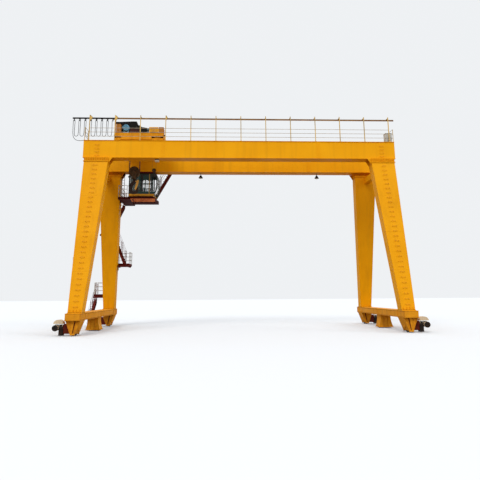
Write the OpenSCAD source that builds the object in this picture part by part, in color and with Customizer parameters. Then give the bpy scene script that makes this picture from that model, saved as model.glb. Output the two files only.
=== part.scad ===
// Double girder gantry crane: two box girders on four leaning legs, which stand on two
// ground beams with a travelling wheel at each corner. A trolley with two winches runs on
// the girders, and a stair leads up past the driver's cab.
// Millimetres. X runs along the girders, Y across them with the near side negative, Z up.

/* [Girders] */
// Length of each girder
girder_l = 26000; // [25600:100:28000]
// Height of each girder, with its flanges
girder_h = 1500; // [1300:50:1800]
// Width of the girder flanges
girder_w = 1040; // [940:20:1140]
// Thickness of the girder flanges
flange_t = 30; // [20:5:50]
// How far the flanges stand out past the webs
flange_lip = 50; // [30:5:80]
// Distance between the girders, middle to middle
gauge = 4400; // [4200:20:4600]
// Height of the girders' underside above the lowest point of the wheels
clear_h = 13900; // [13000:100:15000]
// Distance of the girder splices from the middle
splice_x = 6480; // [5500:50:8000]
// Width of a splice's cover plate
splice_w = 300; // [200:20:500]
// Thickness of a splice's cover plate
splice_t = 12; // [8:1:20]
// Height of the trolley rail
rail_h = 110; // [80:5:140]
// Width of the trolley rail's foot
rail_w = 110; // [90:5:140]
// Length of the trolley rail
rail_l = 24600; // [24000:100:25000]
// Length of the cabinet on the near girder
cabinet_l = 540; // [460:10:560]
// Width of that cabinet
cabinet_w = 460; // [400:10:480]
// Height of that cabinet
cabinet_h = 780; // [600:10:900]
// Distance of the left lamp from the middle
left_lamp_x = 3560; // [3000:10:4500]
// Distance of the right lamp from the middle
right_lamp_x = 7300; // [6000:10:8000]
// Distance of the flood lamp under the near girder from the middle
flood_lamp_x = 7000; // [6900:10:7400]
// Diameter of a lamp's shade
lamp_d = 420; // [360:10:480]
// Height of a lamp's shade
lamp_h = 262; // [220:2:300]

/* [Legs] */
// Width of a leg at its top, along the girders
leg_top_w = 1940; // [1600:20:2040]
// Width of a leg at its foot, along the girders
leg_foot_w = 990; // [860:10:1010]
// Thickness of a leg across the girders
leg_t = 800; // [600:20:900]
// Distance of a leg's top from the middle, along the girders
leg_top_x = 11870; // [11700:10:12000]
// Distance of a leg's top from the middle, across the girders
leg_top_y = 2435; // [2300:5:2500]
// Distance of a leg's foot from the middle, across the girders
leg_foot_y = 5030; // [4600:10:5300]
// Thickness of the plates at a leg's ends
end_plate_t = 40; // [25:5:60]
// How far those plates stand out past the leg
end_plate_lip = 50; // [30:5:80]
// Height of the head between a leg and its girder
head_h = 300; // [200:10:400]
// Size of the corner plates beside the head
gusset = 480; // [300:10:520]
// Height of the tie beam between two leg tops
tie_h = 560; // [400:20:700]
// Width of the tie beam
tie_w = 460; // [300:20:600]
// Pitch of the climbing rungs
rung_pitch = 400; // [300:10:500]
// Width of a climbing rung
rung_w = 320; // [250:10:400]
// Thickness of a rung's bar
rung_t = 22; // [18:1:34]
// How far a rung stands out
rung_out = 110; // [90:10:180]

/* [Ground beams] */
// Distance of the ground beams from the middle
track_x = 12050; // [11900:10:12200]
// Length of a ground beam
beam_l = 11800; // [11400:50:12400]
// Width of a ground beam
beam_w = 1060; // [1000:10:1120]
// Height of a ground beam
beam_h = 500; // [400:10:620]
// Height of the ground beam's underside
beam_z = 1060; // [1000:10:1200]
// Thickness of the ground beam's flanges
beam_flange_t = 35; // [20:5:50]
// Length of the pedestals under the middle of the beams
pedestal_l = 900; // [600:20:1200]
// Width of a pedestal at its top
pedestal_top_w = 800; // [600:20:900]
// Width of a pedestal at its base
pedestal_base_w = 1120; // [920:20:1200]
// Height of a pedestal's base above the lowest point of the wheels
pedestal_z = 60; // [40:5:100]

/* [Wheels] */
// Distance of the wheels from the middle, across the girders
wheel_y = 5100; // [4900:10:5250]
// Diameter of a wheel's flanges
wheel_d = 850; // [760:10:900]
// Height of the flanges above the tread
wheel_flange_h = 25; // [15:1:35]
// Width of a wheel
wheel_w = 190; // [150:5:220]
// Thickness of a wheel flange
wheel_flange_t = 25; // [18:1:35]
// Diameter of a wheel's axle
axle_d = 120; // [90:5:150]
// Width of a wheel box at its foot
box_foot_w = 340; // [330:5:420]
// Height of a wheel box's foot
box_foot_z = 150; // [120:5:220]
// Length of a wheel box
box_l = 1060; // [1000:10:1160]
// Gap between a wheel and its box
wheel_gap = 18; // [10:1:25]
// Length of a travel gearbox
gearbox_l = 500; // [400:10:560]
// Width of a travel gearbox
gearbox_w = 380; // [300:10:450]
// Height of a travel gearbox
gearbox_h = 620; // [520:10:700]
// Length of a travel motor
motor_l = 790; // [600:10:860]
// Diameter of a travel motor
motor_d = 330; // [260:10:380]

/* [Railings] */
// Height of the tall posts on the near girder
post_h = 2200; // [2100:20:2300]
// Thickness of a post
post_t = 60; // [50:5:80]
// Distance between two posts
post_pitch = 2100; // [2080:5:2120]
// Number of posts on a girder
post_n = 13; // [13:1:13]
// Height of the top handrail
handrail_h = 1100; // [1000:20:1200]
// Diameter of a handrail
handrail_d = 34; // [28:1:45]
// Distance between the handrails
handrail_step = 360; // [300:10:400]

/* [Cable track] */
// Height of the cable track above the girders
track_up = 2090; // [2000:10:2150]
// Height of the cable track's section
track_h = 110; // [90:5:130]
// Width of its flanges
track_w = 80; // [70:2:90]
// Thickness of its web and flanges
track_t = 8; // [6:1:12]
// Distance of the track from the near girder's middle, towards the near side
track_off = 150; // [130:5:170]
// Left end of the track
track_left = -14120; // [-14200:10:-14100]
// Right end of the track
track_right = 13200; // [13000:10:13400]
// Distance between two carriers when they are pushed together
carrier_pitch = 460; // [450:2:464]
// Place of the fixed cable clamp
clamp_x = -13980; // [-14000:5:-13970]
// Diameter of the trailing cable
cable_d = 40; // [30:1:44]

/* [Trolley] */
// Length of the trolley
trolley_l = 4070; // [4000:10:4200]
// Place of the trolley's left end
trolley_x = -10570; // [-10600:5:-10560]
// Width of a trolley side beam
side_w = 420; // [380:10:480]
// Height of a trolley side beam's top above the girders
side_top = 750; // [700:10:800]
// Height of a side beam
side_h = 300; // [260:10:340]
// Diameter of a trolley wheel
trolley_wheel_d = 400; // [340:10:440]
// Width of a trolley wheel
trolley_wheel_w = 90; // [70:5:110]
// Place of the main winch
main_x = -9260; // [-9270:5:-9240]
// Radius of the main drum and of the sheaves in the main block
drum_r = 430; // [400:5:440]
// Length of the main drum
drum_l = 2200; // [1900:20:2300]
// Height of the winch shafts above the trolley
shaft_up = 570; // [560:5:620]
// Diameter of a main rope
rope_d = 24; // [18:1:26]
// Place of the small winch
aux_x = -7560; // [-7570:5:-7550]
// Radius of the small drum and of the small sheave
aux_r = 160; // [150:2:180]
// Diameter of the small rope
aux_rope_d = 16; // [12:1:20]
// Diameter of the main hoist's motor
hoist_motor_d = 540; // [480:10:580]
// Length of that motor
hoist_motor_l = 480; // [420:10:500]
// Distance of that motor from the drum
hoist_motor_off = 760; // [740:10:790]
// Thickness of the winch hood's sheet
hood_t = 10; // [6:1:14]
// Width of the winch hood across the girders
hood_w = 2900; // [2800:20:2960]

/* [Hooks] */
// Drop of the main block's sheaves below the main drum
block_drop = 3300; // [3220:10:3420]
// Width of a main sheave
sheave_w = 64; // [56:2:72]
// Distance between two main sheaves
sheave_pitch = 120; // [110:2:130]
// Drop of the main hook's bowl below those sheaves
hook_drop = 1530; // [1490:10:1570]
// Outer radius of the hook's bowl
hook_r = 430; // [400:5:440]
// Radius of the hook's throat
throat_r = 220; // [180:5:240]
// Thickness of the hook
hook_t = 190; // [150:5:210]
// Drop of the small block's sheave below the small drum
aux_drop = 3000; // [2960:10:3060]

/* [Cab] */
// Length of the cab
cab_l = 2550; // [2400:10:2600]
// Width of the cab across the girders
cab_w = 1700; // [1500:20:1800]
// Height of the cab
cab_h = 2150; // [2050:10:2200]
// Place of the cab's rear wall
cab_x = -9980; // [-10000:10:-9950]
// Place of the cab's near side
cab_y = 1350; // [1250:10:1400]
// Gap between the cab's roof and the girders
cab_gap = 230; // [200:10:260]
// Height of the cab's foot on its platform
cab_foot_h = 80; // [60:5:100]
// Thickness of the cab's walls
cab_t = 60; // [40:2:80]
// Height of the wall below the windows
sill_h = 420; // [300:10:600]
// Thickness of the glass
glass_t = 8; // [5:1:12]

/* [Stair] */
// Width of a flight
flight_w = 620; // [560:10:640]
// Distance from one flight to the next, across the girders
lane = 650; // [650:1:680]
// Height of the lowest step above the wheels
foot_z = 260; // [200:10:320]
// Height of the first landing
landing_a = 2900; // [2850:10:2950]
// Height of the second landing
landing_b = 5730; // [5700:10:5760]
// Height of the third landing
landing_c = 8570; // [8540:10:8600]
// Thickness of a landing
landing_t = 180; // [140:10:240]
// Height of the handrails on the flights
stair_rail_h = 1150; // [1000:10:1200]
// Height of a stringer
stringer_h = 200; // [190:5:240]
// Thickness of a stringer
stringer_t = 12; // [8:1:16]
// Number of treads in the middle flights
tread_n = 12; // [10:1:13]
// Depth of a tread
tread_w = 180; // [160:5:190]
// Thickness of a tread
tread_t = 30; // [20:2:40]
// Thickness of the stair's railing
rail_t = 36; // [28:1:45]

/* [Hidden] */

// Running clearance between pieces that only rest against each other
gap = 0.3;
// A length that reaches past the whole crane
reach = 60000;

girder_y = gauge / 2;
girder_top = clear_h + girder_h;
web_w = girder_w - 2 * flange_lip;
rail_top = girder_top + rail_h;

beam_top = beam_z + beam_h;
leg_z0 = beam_top + end_plate_t;
leg_z1 = clear_h - head_h - 2 * end_plate_t;
leg_foot_x = track_x - 10;
lean = atan((leg_foot_y - leg_top_y) / (leg_z1 - leg_z0));
head_in = leg_top_x - leg_top_w / 2;
head_out = leg_top_x + leg_top_w / 2;
tie_z = leg_z1 - tie_h;

wheel_z = wheel_d / 2;
box_top_w = beam_w - 20;
box_z1 = beam_z - gap;
axle_in = 290;
axle_out = 460;
gearbox_x = 200;
drive_end = gearbox_x + gearbox_l + motor_l;

track_z = girder_top + track_up;
track_y = -girder_y - track_off;
post_y = girder_y + girder_w / 2 - post_t / 2 - 20;
post_x0 = -(post_n - 1) * post_pitch / 2;
clamp_drop = 190;
clamp_z = track_z - track_h - clamp_drop;
arm_z = clamp_z + clamp_drop - 60;

side_z1 = girder_top + side_top;
side_z0 = side_z1 - side_h;
shaft_z = side_z1 + shaft_up;
trolley_end = trolley_x + trolley_l;
aux_shaft_z = shaft_z - 160;
block_z = shaft_z - block_drop;
hook_z = block_z - hook_drop;
aux_z = aux_shaft_z - aux_drop;
rope_x = drum_r + rope_d / 2 + gap;
aux_rope_x = aux_r + aux_rope_d / 2 + gap;
trolley_wheel_x = [trolley_x + 330, trolley_end - 520];
bearer_y = hood_w / 2 - 90;

cab_z = clear_h - cab_gap - cab_h;
landing_d = cab_z - cab_foot_h;

// Near sides of the five flights, from the lowest to the highest
lane_0 = 3350;
lane_y = [for (i = [4 : -1 : 0]) lane_0 + i * lane];
lane_far = [for (y = lane_y) y + flight_w];
// Left and right ends of the landings
a_x = [-13640, -12300];
b_x = [-11560, -10300];
c_x = [-12950, -11900];
d_x = [-10900, -7600];
top_x = [-5980, -4900];
// Where the flights start at their lower ends
start_x = [-14300, -12760, -10700, -12220, -8200];

// The frame's origin is the middle of the crane's outline, at the wheels' lowest point
out_left = start_x[0];
out_right = track_x + drive_end;
out_near = -beam_l / 2;
out_far = lane_far[0];
mid_x = (out_left + out_right) / 2;
mid_y = (out_near + out_far) / 2;

paint = [0.88, 0.62, 0.08];
maroon = [0.42, 0.12, 0.08];
black = [0.09, 0.09, 0.09];
steel = [0.55, 0.55, 0.52];
brown = [0.65, 0.40, 0.22];

// Moves everything from the crane's middle to the frame's origin
module place()
  translate([-mid_x, -mid_y, 0])
    children();

// A box from its lowest corner to its highest
module span(a, b)
  translate(a)
    cube([b[0] - a[0], b[1] - a[1], b[2] - a[2]]);

// A flat outline in X and Z, drawn out along Y
module slab_xz(points, y0, y1)
  translate([0, y1, 0])
    rotate([90, 0, 0])
      linear_extrude(y1 - y0)
        polygon(points);

// A flat outline in Y and Z, drawn out along X
module slab_yz(points, x0, x1)
  translate([x0, 0, 0])
    rotate([90, 0, 90])
      linear_extrude(x1 - x0)
        polygon(points);

// A round bar along X, Y or Z
module bar_x(x0, x1, y, z, d)
  translate([x0, y, z])
    rotate([0, 90, 0])
      cylinder(h = x1 - x0, d = d, $fn = 48);

module bar_y(y0, y1, x, z, d)
  translate([x, y0, z])
    rotate([-90, 0, 0])
      cylinder(h = y1 - y0, d = d, $fn = 48);

module bar_z(z0, z1, x, y, d)
  translate([x, y, z0])
    cylinder(h = z1 - z0, d = d, $fn = 48);

// Girders

module girder(side)
  translate([0, side * girder_y, 0]) {
    span([-girder_l / 2, -web_w / 2, clear_h], [girder_l / 2, web_w / 2, girder_top]);
    for (z = [clear_h, girder_top - flange_t])
      span([-girder_l / 2, -girder_w / 2, z], [girder_l / 2, girder_w / 2, z + flange_t]);
    for (x = [-splice_x, splice_x], s = [-1, 1])
      span(
        [x - splice_w / 2, s * web_w / 2 - splice_t, clear_h + 2 * flange_t],
        [x + splice_w / 2, s * web_w / 2 + splice_t, girder_top - 2 * flange_t]
      );
  }

module near_girder()
  color(paint) place() girder(-1);

module far_girder()
  color(paint) place() girder(1);

module trolley_rails()
  color(steel) place()
    for (s = [-1, 1])
      translate([0, s * girder_y, girder_top + gap])
        slab_yz(
          [
            [-rail_w / 2, 0], [rail_w / 2, 0], [rail_w / 2, 18], [14, 32], [14, rail_h - 38],
            [34, rail_h - 30], [34, rail_h - gap], [-34, rail_h - gap], [-34, rail_h - 30],
            [-14, rail_h - 38], [-14, 32], [-rail_w / 2, 18]
          ],
          -rail_l / 2, rail_l / 2
        );

// Legs

function leg_share(z) = (z - leg_z0) / (leg_z1 - leg_z0);
function leg_mid_x(z) = leg_foot_x + (leg_top_x - leg_foot_x) * leg_share(z);
function leg_mid_y(z) = leg_foot_y + (leg_top_y - leg_foot_y) * leg_share(z);
function leg_half(z) = (leg_foot_w + (leg_top_w - leg_foot_w) * leg_share(z)) / 2;

// The tapered and leaning shaft of the leg at the far right, grown by a clearance
module leg_shaft(grow = 0)
  intersection() {
    slab_xz(
      [
        [leg_foot_x - leg_foot_w / 2 - grow, leg_z0], [leg_foot_x + leg_foot_w / 2 + grow, leg_z0],
        [leg_top_x + leg_top_w / 2 + grow, leg_z1], [leg_top_x - leg_top_w / 2 - grow, leg_z1]
      ],
      -reach, reach
    );
    slab_yz(
      [
        [leg_foot_y - leg_t / 2 - grow, leg_z0], [leg_foot_y + leg_t / 2 + grow, leg_z0],
        [leg_top_y + leg_t / 2 + grow, leg_z1], [leg_top_y - leg_t / 2 - grow, leg_z1]
      ],
      -reach, reach
    );
  }

module leg_plate(x, y, w, z)
  span(
    [x - w / 2 - end_plate_lip, y - leg_t / 2 - end_plate_lip, z],
    [x + w / 2 + end_plate_lip, y + leg_t / 2 + end_plate_lip, z + end_plate_t]
  );

foot_plate = [leg_foot_w / 2 + end_plate_lip / 2, leg_t / 2 + 2 * end_plate_lip];

module far_right_shape() {
  leg_shaft();
  span(
    [leg_foot_x - foot_plate[0], leg_foot_y - foot_plate[1], beam_top + gap],
    [leg_foot_x + foot_plate[0], leg_foot_y + foot_plate[1], leg_z0]
  );
  leg_plate(leg_top_x, leg_top_y, leg_top_w, leg_z1);
  leg_plate(leg_top_x, leg_top_y, leg_top_w, leg_z1 + end_plate_t);
  span(
    [head_in, leg_top_y - leg_t / 2, leg_z1 + 2 * end_plate_t],
    [head_out, leg_top_y + leg_t / 2, clear_h - gap]
  );
  for (s = [-1, 1])
    slab_xz(
      [
        [head_in - gusset * 0.7, clear_h - gap], [head_in, clear_h - gap],
        [head_in, clear_h - gusset], [head_in - 40, clear_h - gusset]
      ],
      leg_top_y + s * leg_t * 0.4 - 15, leg_top_y + s * leg_t * 0.4 + 15
    );
}

// side_x and side_y are -1 or 1 and pick the corner
module leg(side_x, side_y)
  color(paint) place()
    mirror([side_x < 0 ? 1 : 0, 0, 0])
      mirror([0, side_y < 0 ? 1 : 0, 0])
        far_right_shape();

module near_left_leg() leg(-1, -1);
module near_right_leg() leg(1, -1);
module far_left_leg() leg(-1, 1);
module far_right_leg() leg(1, 1);

module tie_beams()
  color(paint) place()
    for (s = [-1, 1])
      difference() {
        translate([s * (leg_top_x + 180), 0, 0])
          span([-tie_w / 2, -leg_top_y, tie_z], [tie_w / 2, leg_top_y, leg_z1 - 60]);
        for (x = [0, 1], y = [0, 1])
          mirror([x, 0, 0])
            mirror([0, y, 0])
              leg_shaft(gap);
      }

// Climbing rungs up the near face of the near legs and on over the girder's face
module rung()
  translate([-rung_w / 2, 0, -rung_t / 2])
    linear_extrude(rung_t)
      polygon([
        [0, -gap], [0, -rung_out], [rung_w, -rung_out], [rung_w, -gap],
        [rung_w - rung_t, -gap], [rung_w - rung_t, rung_t - rung_out],
        [rung_t, rung_t - rung_out], [rung_t, -gap]
      ]);

rung_n = floor((leg_z1 - leg_z0 - 600) / rung_pitch);
girder_rung_n = floor((girder_h - 300) / 300);

module climbing_rungs()
  color(paint) place()
    for (s = [-1, 1]) {
      for (i = [0 : rung_n])
        let (z = leg_z0 + 400 + i * rung_pitch)
          translate([s * leg_mid_x(z), -leg_mid_y(z) - leg_t / 2, z])
            rotate([-lean, 0, 0])
              rung();
      for (i = [0 : girder_rung_n - 1])
        translate([s * leg_mid_x(leg_z1), -girder_y - web_w / 2, clear_h + 200 + i * 300])
          rung();
    }

// Ground beams, wheel boxes and drives

module ground_beam(side)
  color(paint) place()
    translate([side * track_x, 0, 0]) {
      span([-beam_w / 2 + 30, -beam_l / 2 + 20, beam_z], [beam_w / 2 - 30, beam_l / 2 - 20, beam_top]);
      for (z = [beam_z, beam_top - beam_flange_t])
        span([-beam_w / 2, -beam_l / 2, z], [beam_w / 2, beam_l / 2, z + beam_flange_t]);
    }

module left_ground_beam() ground_beam(-1);
module right_ground_beam() ground_beam(1);

// Every corner's pieces are drawn at the origin with the outside towards +X
module at_corners()
  for (x = [-1, 1], y = [-1, 1])
    translate([x * track_x, y * wheel_y, 0])
      mirror([x < 0 ? 1 : 0, 0, 0])
        children();

box_outline = [
  [-box_foot_w / 2, box_foot_z], [box_foot_w / 2, box_foot_z],
  [box_top_w / 2, box_z1], [-box_top_w / 2, box_z1]
];

module wheel_box()
  difference() {
    slab_xz(box_outline, -box_l / 2, box_l / 2);
    span(
      [-wheel_w / 2 - wheel_gap, -wheel_d / 2 - 2 * wheel_gap, 0],
      [wheel_w / 2 + wheel_gap, wheel_d / 2 + 2 * wheel_gap, wheel_d + wheel_gap]
    );
    bar_x(-beam_w, beam_w, 0, wheel_z, axle_d + 2);
  }

module wheel_boxes()
  color(paint) place() at_corners() wheel_box();

module travel_drive()
  difference() {
    union() {
      span(
        [box_foot_w / 2, -gearbox_w / 2, wheel_z - 240],
        [gearbox_x + gearbox_l, gearbox_w / 2, wheel_z - 240 + gearbox_h]
      );
      bar_x(gearbox_x + gearbox_l - 1, drive_end, 0, wheel_z + 130, motor_d);
      bar_x(drive_end - 160, drive_end - 20, 0, wheel_z + 130, motor_d + 24);
    }
    slab_xz(
      [
        [-box_foot_w / 2 - gap, box_foot_z - 60], [box_foot_w / 2 + gap, box_foot_z - 60],
        [box_foot_w / 2 + gap, box_foot_z], [box_top_w / 2 + gap, box_z1],
        [-box_top_w / 2 - gap, box_z1]
      ],
      -box_l, box_l
    );
    bar_x(-beam_w, axle_out + 20, 0, wheel_z, axle_d + 2);
  }

module travel_drives()
  color(maroon) place() at_corners() travel_drive();

// A wheel with two flanges and the axle that runs through its box into the gearbox
module travel_wheel(side_x, side_y)
  color(black) place()
    translate([side_x * track_x, side_y * wheel_y, wheel_z])
      rotate([0, side_x * 90, 0])
        rotate_extrude($fn = 96)
          polygon([
            [0, -axle_in], [axle_d / 2, -axle_in], [axle_d / 2, -wheel_w / 2], [150, -wheel_w / 2],
            [190, -wheel_w / 4], [wheel_d / 2 - 80, -wheel_w / 4], [wheel_d / 2 - 60, -wheel_w / 2],
            [wheel_d / 2, -wheel_w / 2], [wheel_d / 2, wheel_flange_t - wheel_w / 2],
            [wheel_d / 2 - wheel_flange_h, wheel_flange_t - wheel_w / 2 + 6],
            [wheel_d / 2 - wheel_flange_h, wheel_w / 2 - wheel_flange_t - 6],
            [wheel_d / 2, wheel_w / 2 - wheel_flange_t], [wheel_d / 2, wheel_w / 2],
            [wheel_d / 2 - 60, wheel_w / 2], [wheel_d / 2 - 80, wheel_w / 4], [190, wheel_w / 4],
            [150, wheel_w / 2], [axle_d / 2, wheel_w / 2], [axle_d / 2, axle_out], [0, axle_out]
          ]);

module near_left_wheel() travel_wheel(-1, -1);
module near_right_wheel() travel_wheel(1, -1);
module far_left_wheel() travel_wheel(-1, 1);
module far_right_wheel() travel_wheel(1, 1);

// Flared pedestals under the middle of the ground beams
function flare(t) = (pedestal_top_w + (pedestal_base_w - pedestal_top_w) * pow(t, 2.2)) / 2;
flare_steps = 8;
pedestal_foot_z = pedestal_z + 80;
pedestal_top_z = beam_z - gap;
pedestal_side = [
  for (i = [0 : flare_steps])
    let (t = i / flare_steps)
      [flare(t), pedestal_top_z + (pedestal_foot_z - pedestal_top_z) * t]
];
pedestal_outline = concat(
  pedestal_side,
  [[pedestal_base_w / 2, pedestal_z], [-pedestal_base_w / 2, pedestal_z]],
  [for (i = [flare_steps : -1 : 0]) [-pedestal_side[i][0], pedestal_side[i][1]]]
);

module anchor_pedestals()
  color(paint) place()
    for (s = [-1, 1])
      translate([s * track_x, 0, 0])
        slab_xz(pedestal_outline, -pedestal_l / 2, pedestal_l / 2);

// Railings and cable track

function post_x(i) = post_x0 + i * post_pitch;

// The handrails run along the inner faces of the posts
module long_rails(side, runs)
  for (i = [0 : 2], run = runs)
    bar_x(
      post_x(run[0]) - post_t / 2, post_x(run[1]) + post_t / 2,
      side * (post_y - post_t / 2 - gap - handrail_d / 2),
      girder_top + handrail_h - handrail_d / 2 - i * handrail_step, handrail_d
    );

module posts(side, h)
  for (i = [0 : post_n - 1])
    translate([post_x(i), side * post_y, girder_top])
      span([-post_t / 2, -post_t / 2, gap], [post_t / 2, post_t / 2, h]);

// Short rails across the girder's two ends
end_post_t = 40;
end_rail_y = post_y - girder_w + 140;

module end_rails(side)
  mirror([0, side < 0 ? 1 : 0, 0])
    for (s = [-1, 1])
      translate([s * (girder_l / 2 - 60), 0, girder_top]) {
        for (y = [end_rail_y, post_y])
          span(
            [-end_post_t / 2, y - end_post_t / 2, gap],
            [end_post_t / 2, y + end_post_t / 2, handrail_h]
          );
        for (i = [0 : 2])
          bar_y(
            end_rail_y - end_post_t / 2, post_y + end_post_t / 2,
            -s * (end_post_t / 2 + gap + handrail_d / 2),
            handrail_h - handrail_d / 2 - i * handrail_step, handrail_d
          );
      }

arm_h = 50;

module near_railing()
  color(paint) place() {
    posts(-1, post_h);
    long_rails(-1, [[0, post_n - 1]]);
    end_rails(-1);
    // Arms from the posts over the cable track
    for (i = [0 : post_n - 1])
      translate([post_x(i), 0, track_z + gap])
        span([-post_t / 2, -post_y + post_t / 2 + gap, 0], [post_t / 2, track_y + track_w / 2, arm_h]);
  }

module far_railing()
  color(paint) place() {
    posts(1, handrail_h);
    // The rails leave a way in from the top of the stair
    long_rails(1, [[0, 3], [4, post_n - 1]]);
    end_rails(1);
  }

module cable_track()
  color(brown) place() {
    translate([0, track_y, track_z])
      slab_yz(
        [
          [-track_w / 2, 0], [-track_w / 2, -track_t], [-track_t / 2, -track_t],
          [-track_t / 2, track_t - track_h], [-track_w / 2, track_t - track_h], [-track_w / 2, -track_h],
          [track_w / 2, -track_h], [track_w / 2, track_t - track_h], [track_t / 2, track_t - track_h],
          [track_t / 2, -track_t], [track_w / 2, -track_t], [track_w / 2, 0]
        ],
        track_left, track_right
      );
    // Fixed clamp at the left end
    translate([clamp_x, track_y, track_z - track_h]) {
      span([-40, -cheek_y - 8, -60], [40, cheek_y + 8, 0]);
      cable_saddle();
    }
  }

// The half round saddle that the cable lies over, between two cheeks
saddle_r = 50;
cheek_y = cable_d / 2 + 2;

module cable_saddle() {
  translate([0, 0, -clamp_drop])
    difference() {
      bar_y(-cheek_y - 1, cheek_y + 1, 0, 0, 2 * saddle_r);
      span([-100, -100, -100], [100, 100, 0]);
    }
  for (s = [-1, 1])
    translate([0, s * (cheek_y + 4), 0])
      span([-25, -4, -clamp_drop], [25, 4, -30]);
}

// A carrier rolls on the lower flange of the track
roller_d = 44;

module carrier(i)
  color(black) place()
    translate([clamp_x + i * carrier_pitch, track_y, track_z - track_h]) {
      for (s = [-1, 1]) {
        translate([0, s * (track_w / 2 + 16), 0])
          span([-70, -6, -30], [70, 6, track_t + roller_d]);
        for (x = [-40, 40])
          mirror([0, s < 0 ? 1 : 0, 0])
            bar_y(12, track_w / 2 + 12, x, track_t + gap + roller_d / 2, roller_d);
      }
      span([-70, -track_w / 2 - 22, -42], [70, track_w / 2 + 22, -30]);
      cable_saddle();
    }

module carrier_1() carrier(1);
module carrier_2() carrier(2);
module carrier_3() carrier(3);
module carrier_4() carrier(4);
module carrier_5() carrier(5);
module carrier_6() carrier(6);
module carrier_7() carrier(7);

// Trailing cable: loops between the carriers, and the lead to the girder's end. The points
// are chosen by hand, in X and Z from the middle of a saddle, and both ends run level.
loop_route = [
  [0, 70], [27, 65], [50, 50], [65, 27], [70, 0], [74, -1160], [120, -1300], [230, -1350],
  [340, -1300], [386, -1160], [390, 0], [395, 27], [410, 50], [433, 65], [460, 70]
];
lead_route = [
  [0, 70], [-27, 65], [-50, 50], [-65, 27], [-70, 0], [-66, -700], [-40, -1200], [60, -1500],
  [260, -1680], [520, -1740], [760, -1730], [980, -1710]
];
loop_scale = carrier_pitch / 460;
carrier_n = 7;

function along(p, i) =
  i == 0 ? [sign(p[1][0] - p[0][0]), 0] : i == len(p) - 1 ? [1, 0] : p[i + 1] - p[i - 1];
function ring(p, i, d, n) =
  let (t = along(p, i), s = t / norm(t), u = [-s[1], s[0]])
    [for (k = [0 : n - 1]) let (a = 360 * (k + 0.5) / n) [
      p[i][0] + u[0] * cos(a) * d / 2, sin(a) * d / 2, p[i][1] + u[1] * cos(a) * d / 2
    ]];

module tube(p, d, n = 8) {
  rings = [for (i = [0 : len(p) - 1]) each ring(p, i, d, n)];
  last = (len(p) - 1) * n;
  polyhedron(
    rings,
    concat(
      [[for (k = [0 : n - 1]) k]],
      [for (i = [0 : len(p) - 2], k = [0 : n - 1])
        [i * n + k, (i + 1) * n + k, (i + 1) * n + (k + 1) % n, i * n + (k + 1) % n]],
      [[for (k = [n - 1 : -1 : 0]) last + k]]
    )
  );
}

module trailing_cable()
  color(black) place() {
    for (i = [0 : carrier_n - 1])
      translate([clamp_x + i * carrier_pitch, track_y, clamp_z])
        tube([for (q = loop_route) [q[0] * loop_scale, q[1]]], cable_d);
    translate([clamp_x, track_y, clamp_z])
      tube(lead_route, cable_d);
  }

module junction_boxes()
  color(steel) place() {
    // Cabinet at the right end of the near girder
    translate([rail_l / 2 + 20, 60 - girder_y - cabinet_w, girder_top])
      span([0, 0, gap], [cabinet_l, cabinet_w, cabinet_h]);
    // Small boxes on the outer side of the legs
    for (box = [[1, 2200], [-1, 5500]])
      let (x = box[0] * (leg_mid_x(box[1] + 120) + leg_half(box[1] + 120) + gap + 60))
        translate([x, -leg_mid_y(box[1]), box[1]])
          span([-60, -100, -120], [60, 100, 120]);
  }

module bell_lamp(x, y) {
  bar_z(clear_h - 200, clear_h - gap, x, y, 40);
  translate([x, y, clear_h - 198 - lamp_h])
    cylinder(h = lamp_h, d1 = lamp_d, d2 = 120, $fn = 48);
}

module lamps()
  color(black) place() {
    bell_lamp(-left_lamp_x, girder_y);
    bell_lamp(right_lamp_x, girder_y);
    translate([-flood_lamp_x, -girder_y, clear_h])
      span([-160, -140, -190], [160, 140, -gap]);
  }

// Cab

cab_end = cab_x + cab_l;
cab_far = cab_y + cab_w;
cab_top = cab_z + cab_h;
roof_t = 70;
// The windows: their lower and upper edges, and the two in each side wall
window_z = [cab_z + sill_h, cab_top - roof_t - 140];
windows = [[cab_x + cab_t, cab_x + 1150], [cab_x + 1150 + cab_t, cab_end - 560]];
rear_window_y = [cab_y + 300, cab_far - 300];
// How far the floor's end lies behind the foremost point
nose = 330;
// Side outline of the front, which bulges towards the middle of the crane
front = [
  [cab_end - nose, cab_z + cab_t], [cab_end - 120, cab_z + sill_h], [cab_end - 20, cab_z + sill_h + 420],
  [cab_end, cab_z + 1200], [cab_end - 60, cab_top - 320], [cab_end - 240, cab_top - roof_t]
];
// Outline of the opening behind the front pane in a side wall
front_window = [
  [cab_end - 500, window_z[0]], [cab_end - 190, window_z[0]], [cab_end - 90, cab_z + sill_h + 430],
  [cab_end - 70, cab_z + 1200], [cab_end - 130, cab_top - 340], [cab_end - 260, window_z[1]],
  [cab_end - 500, window_z[1]]
];

module cab_floor()
  color(paint) place()
    span([cab_x, cab_y, cab_z], [cab_end - nose, cab_far, cab_z + cab_t]);

// Frame of the cab: both side walls, the rear wall and the front wall below the pane
module cab_walls()
  color(paint) place() {
    for (y = [cab_y, cab_far - cab_t])
      difference() {
        slab_xz(concat([[cab_x, cab_z + cab_t + gap]], front, [[cab_x, cab_top - roof_t]]), y, y + cab_t);
        for (x = windows)
          span([x[0], y - 1, window_z[0]], [x[1], y + cab_t + 1, window_z[1]]);
        slab_xz(front_window, y - 1, y + cab_t + 1);
      }
    difference() {
      span([cab_x, cab_y + cab_t, cab_z + cab_t + gap], [cab_x + cab_t, cab_far - cab_t, cab_top - roof_t]);
      span([cab_x - 1, rear_window_y[0], window_z[0]], [cab_x + cab_t + 1, rear_window_y[1], window_z[1]]);
    }
    span(
      [cab_end - nose - cab_t, cab_y + cab_t, cab_z + cab_t + gap],
      [cab_end - nose, cab_far - cab_t, cab_z + sill_h]
    );
  }

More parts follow.
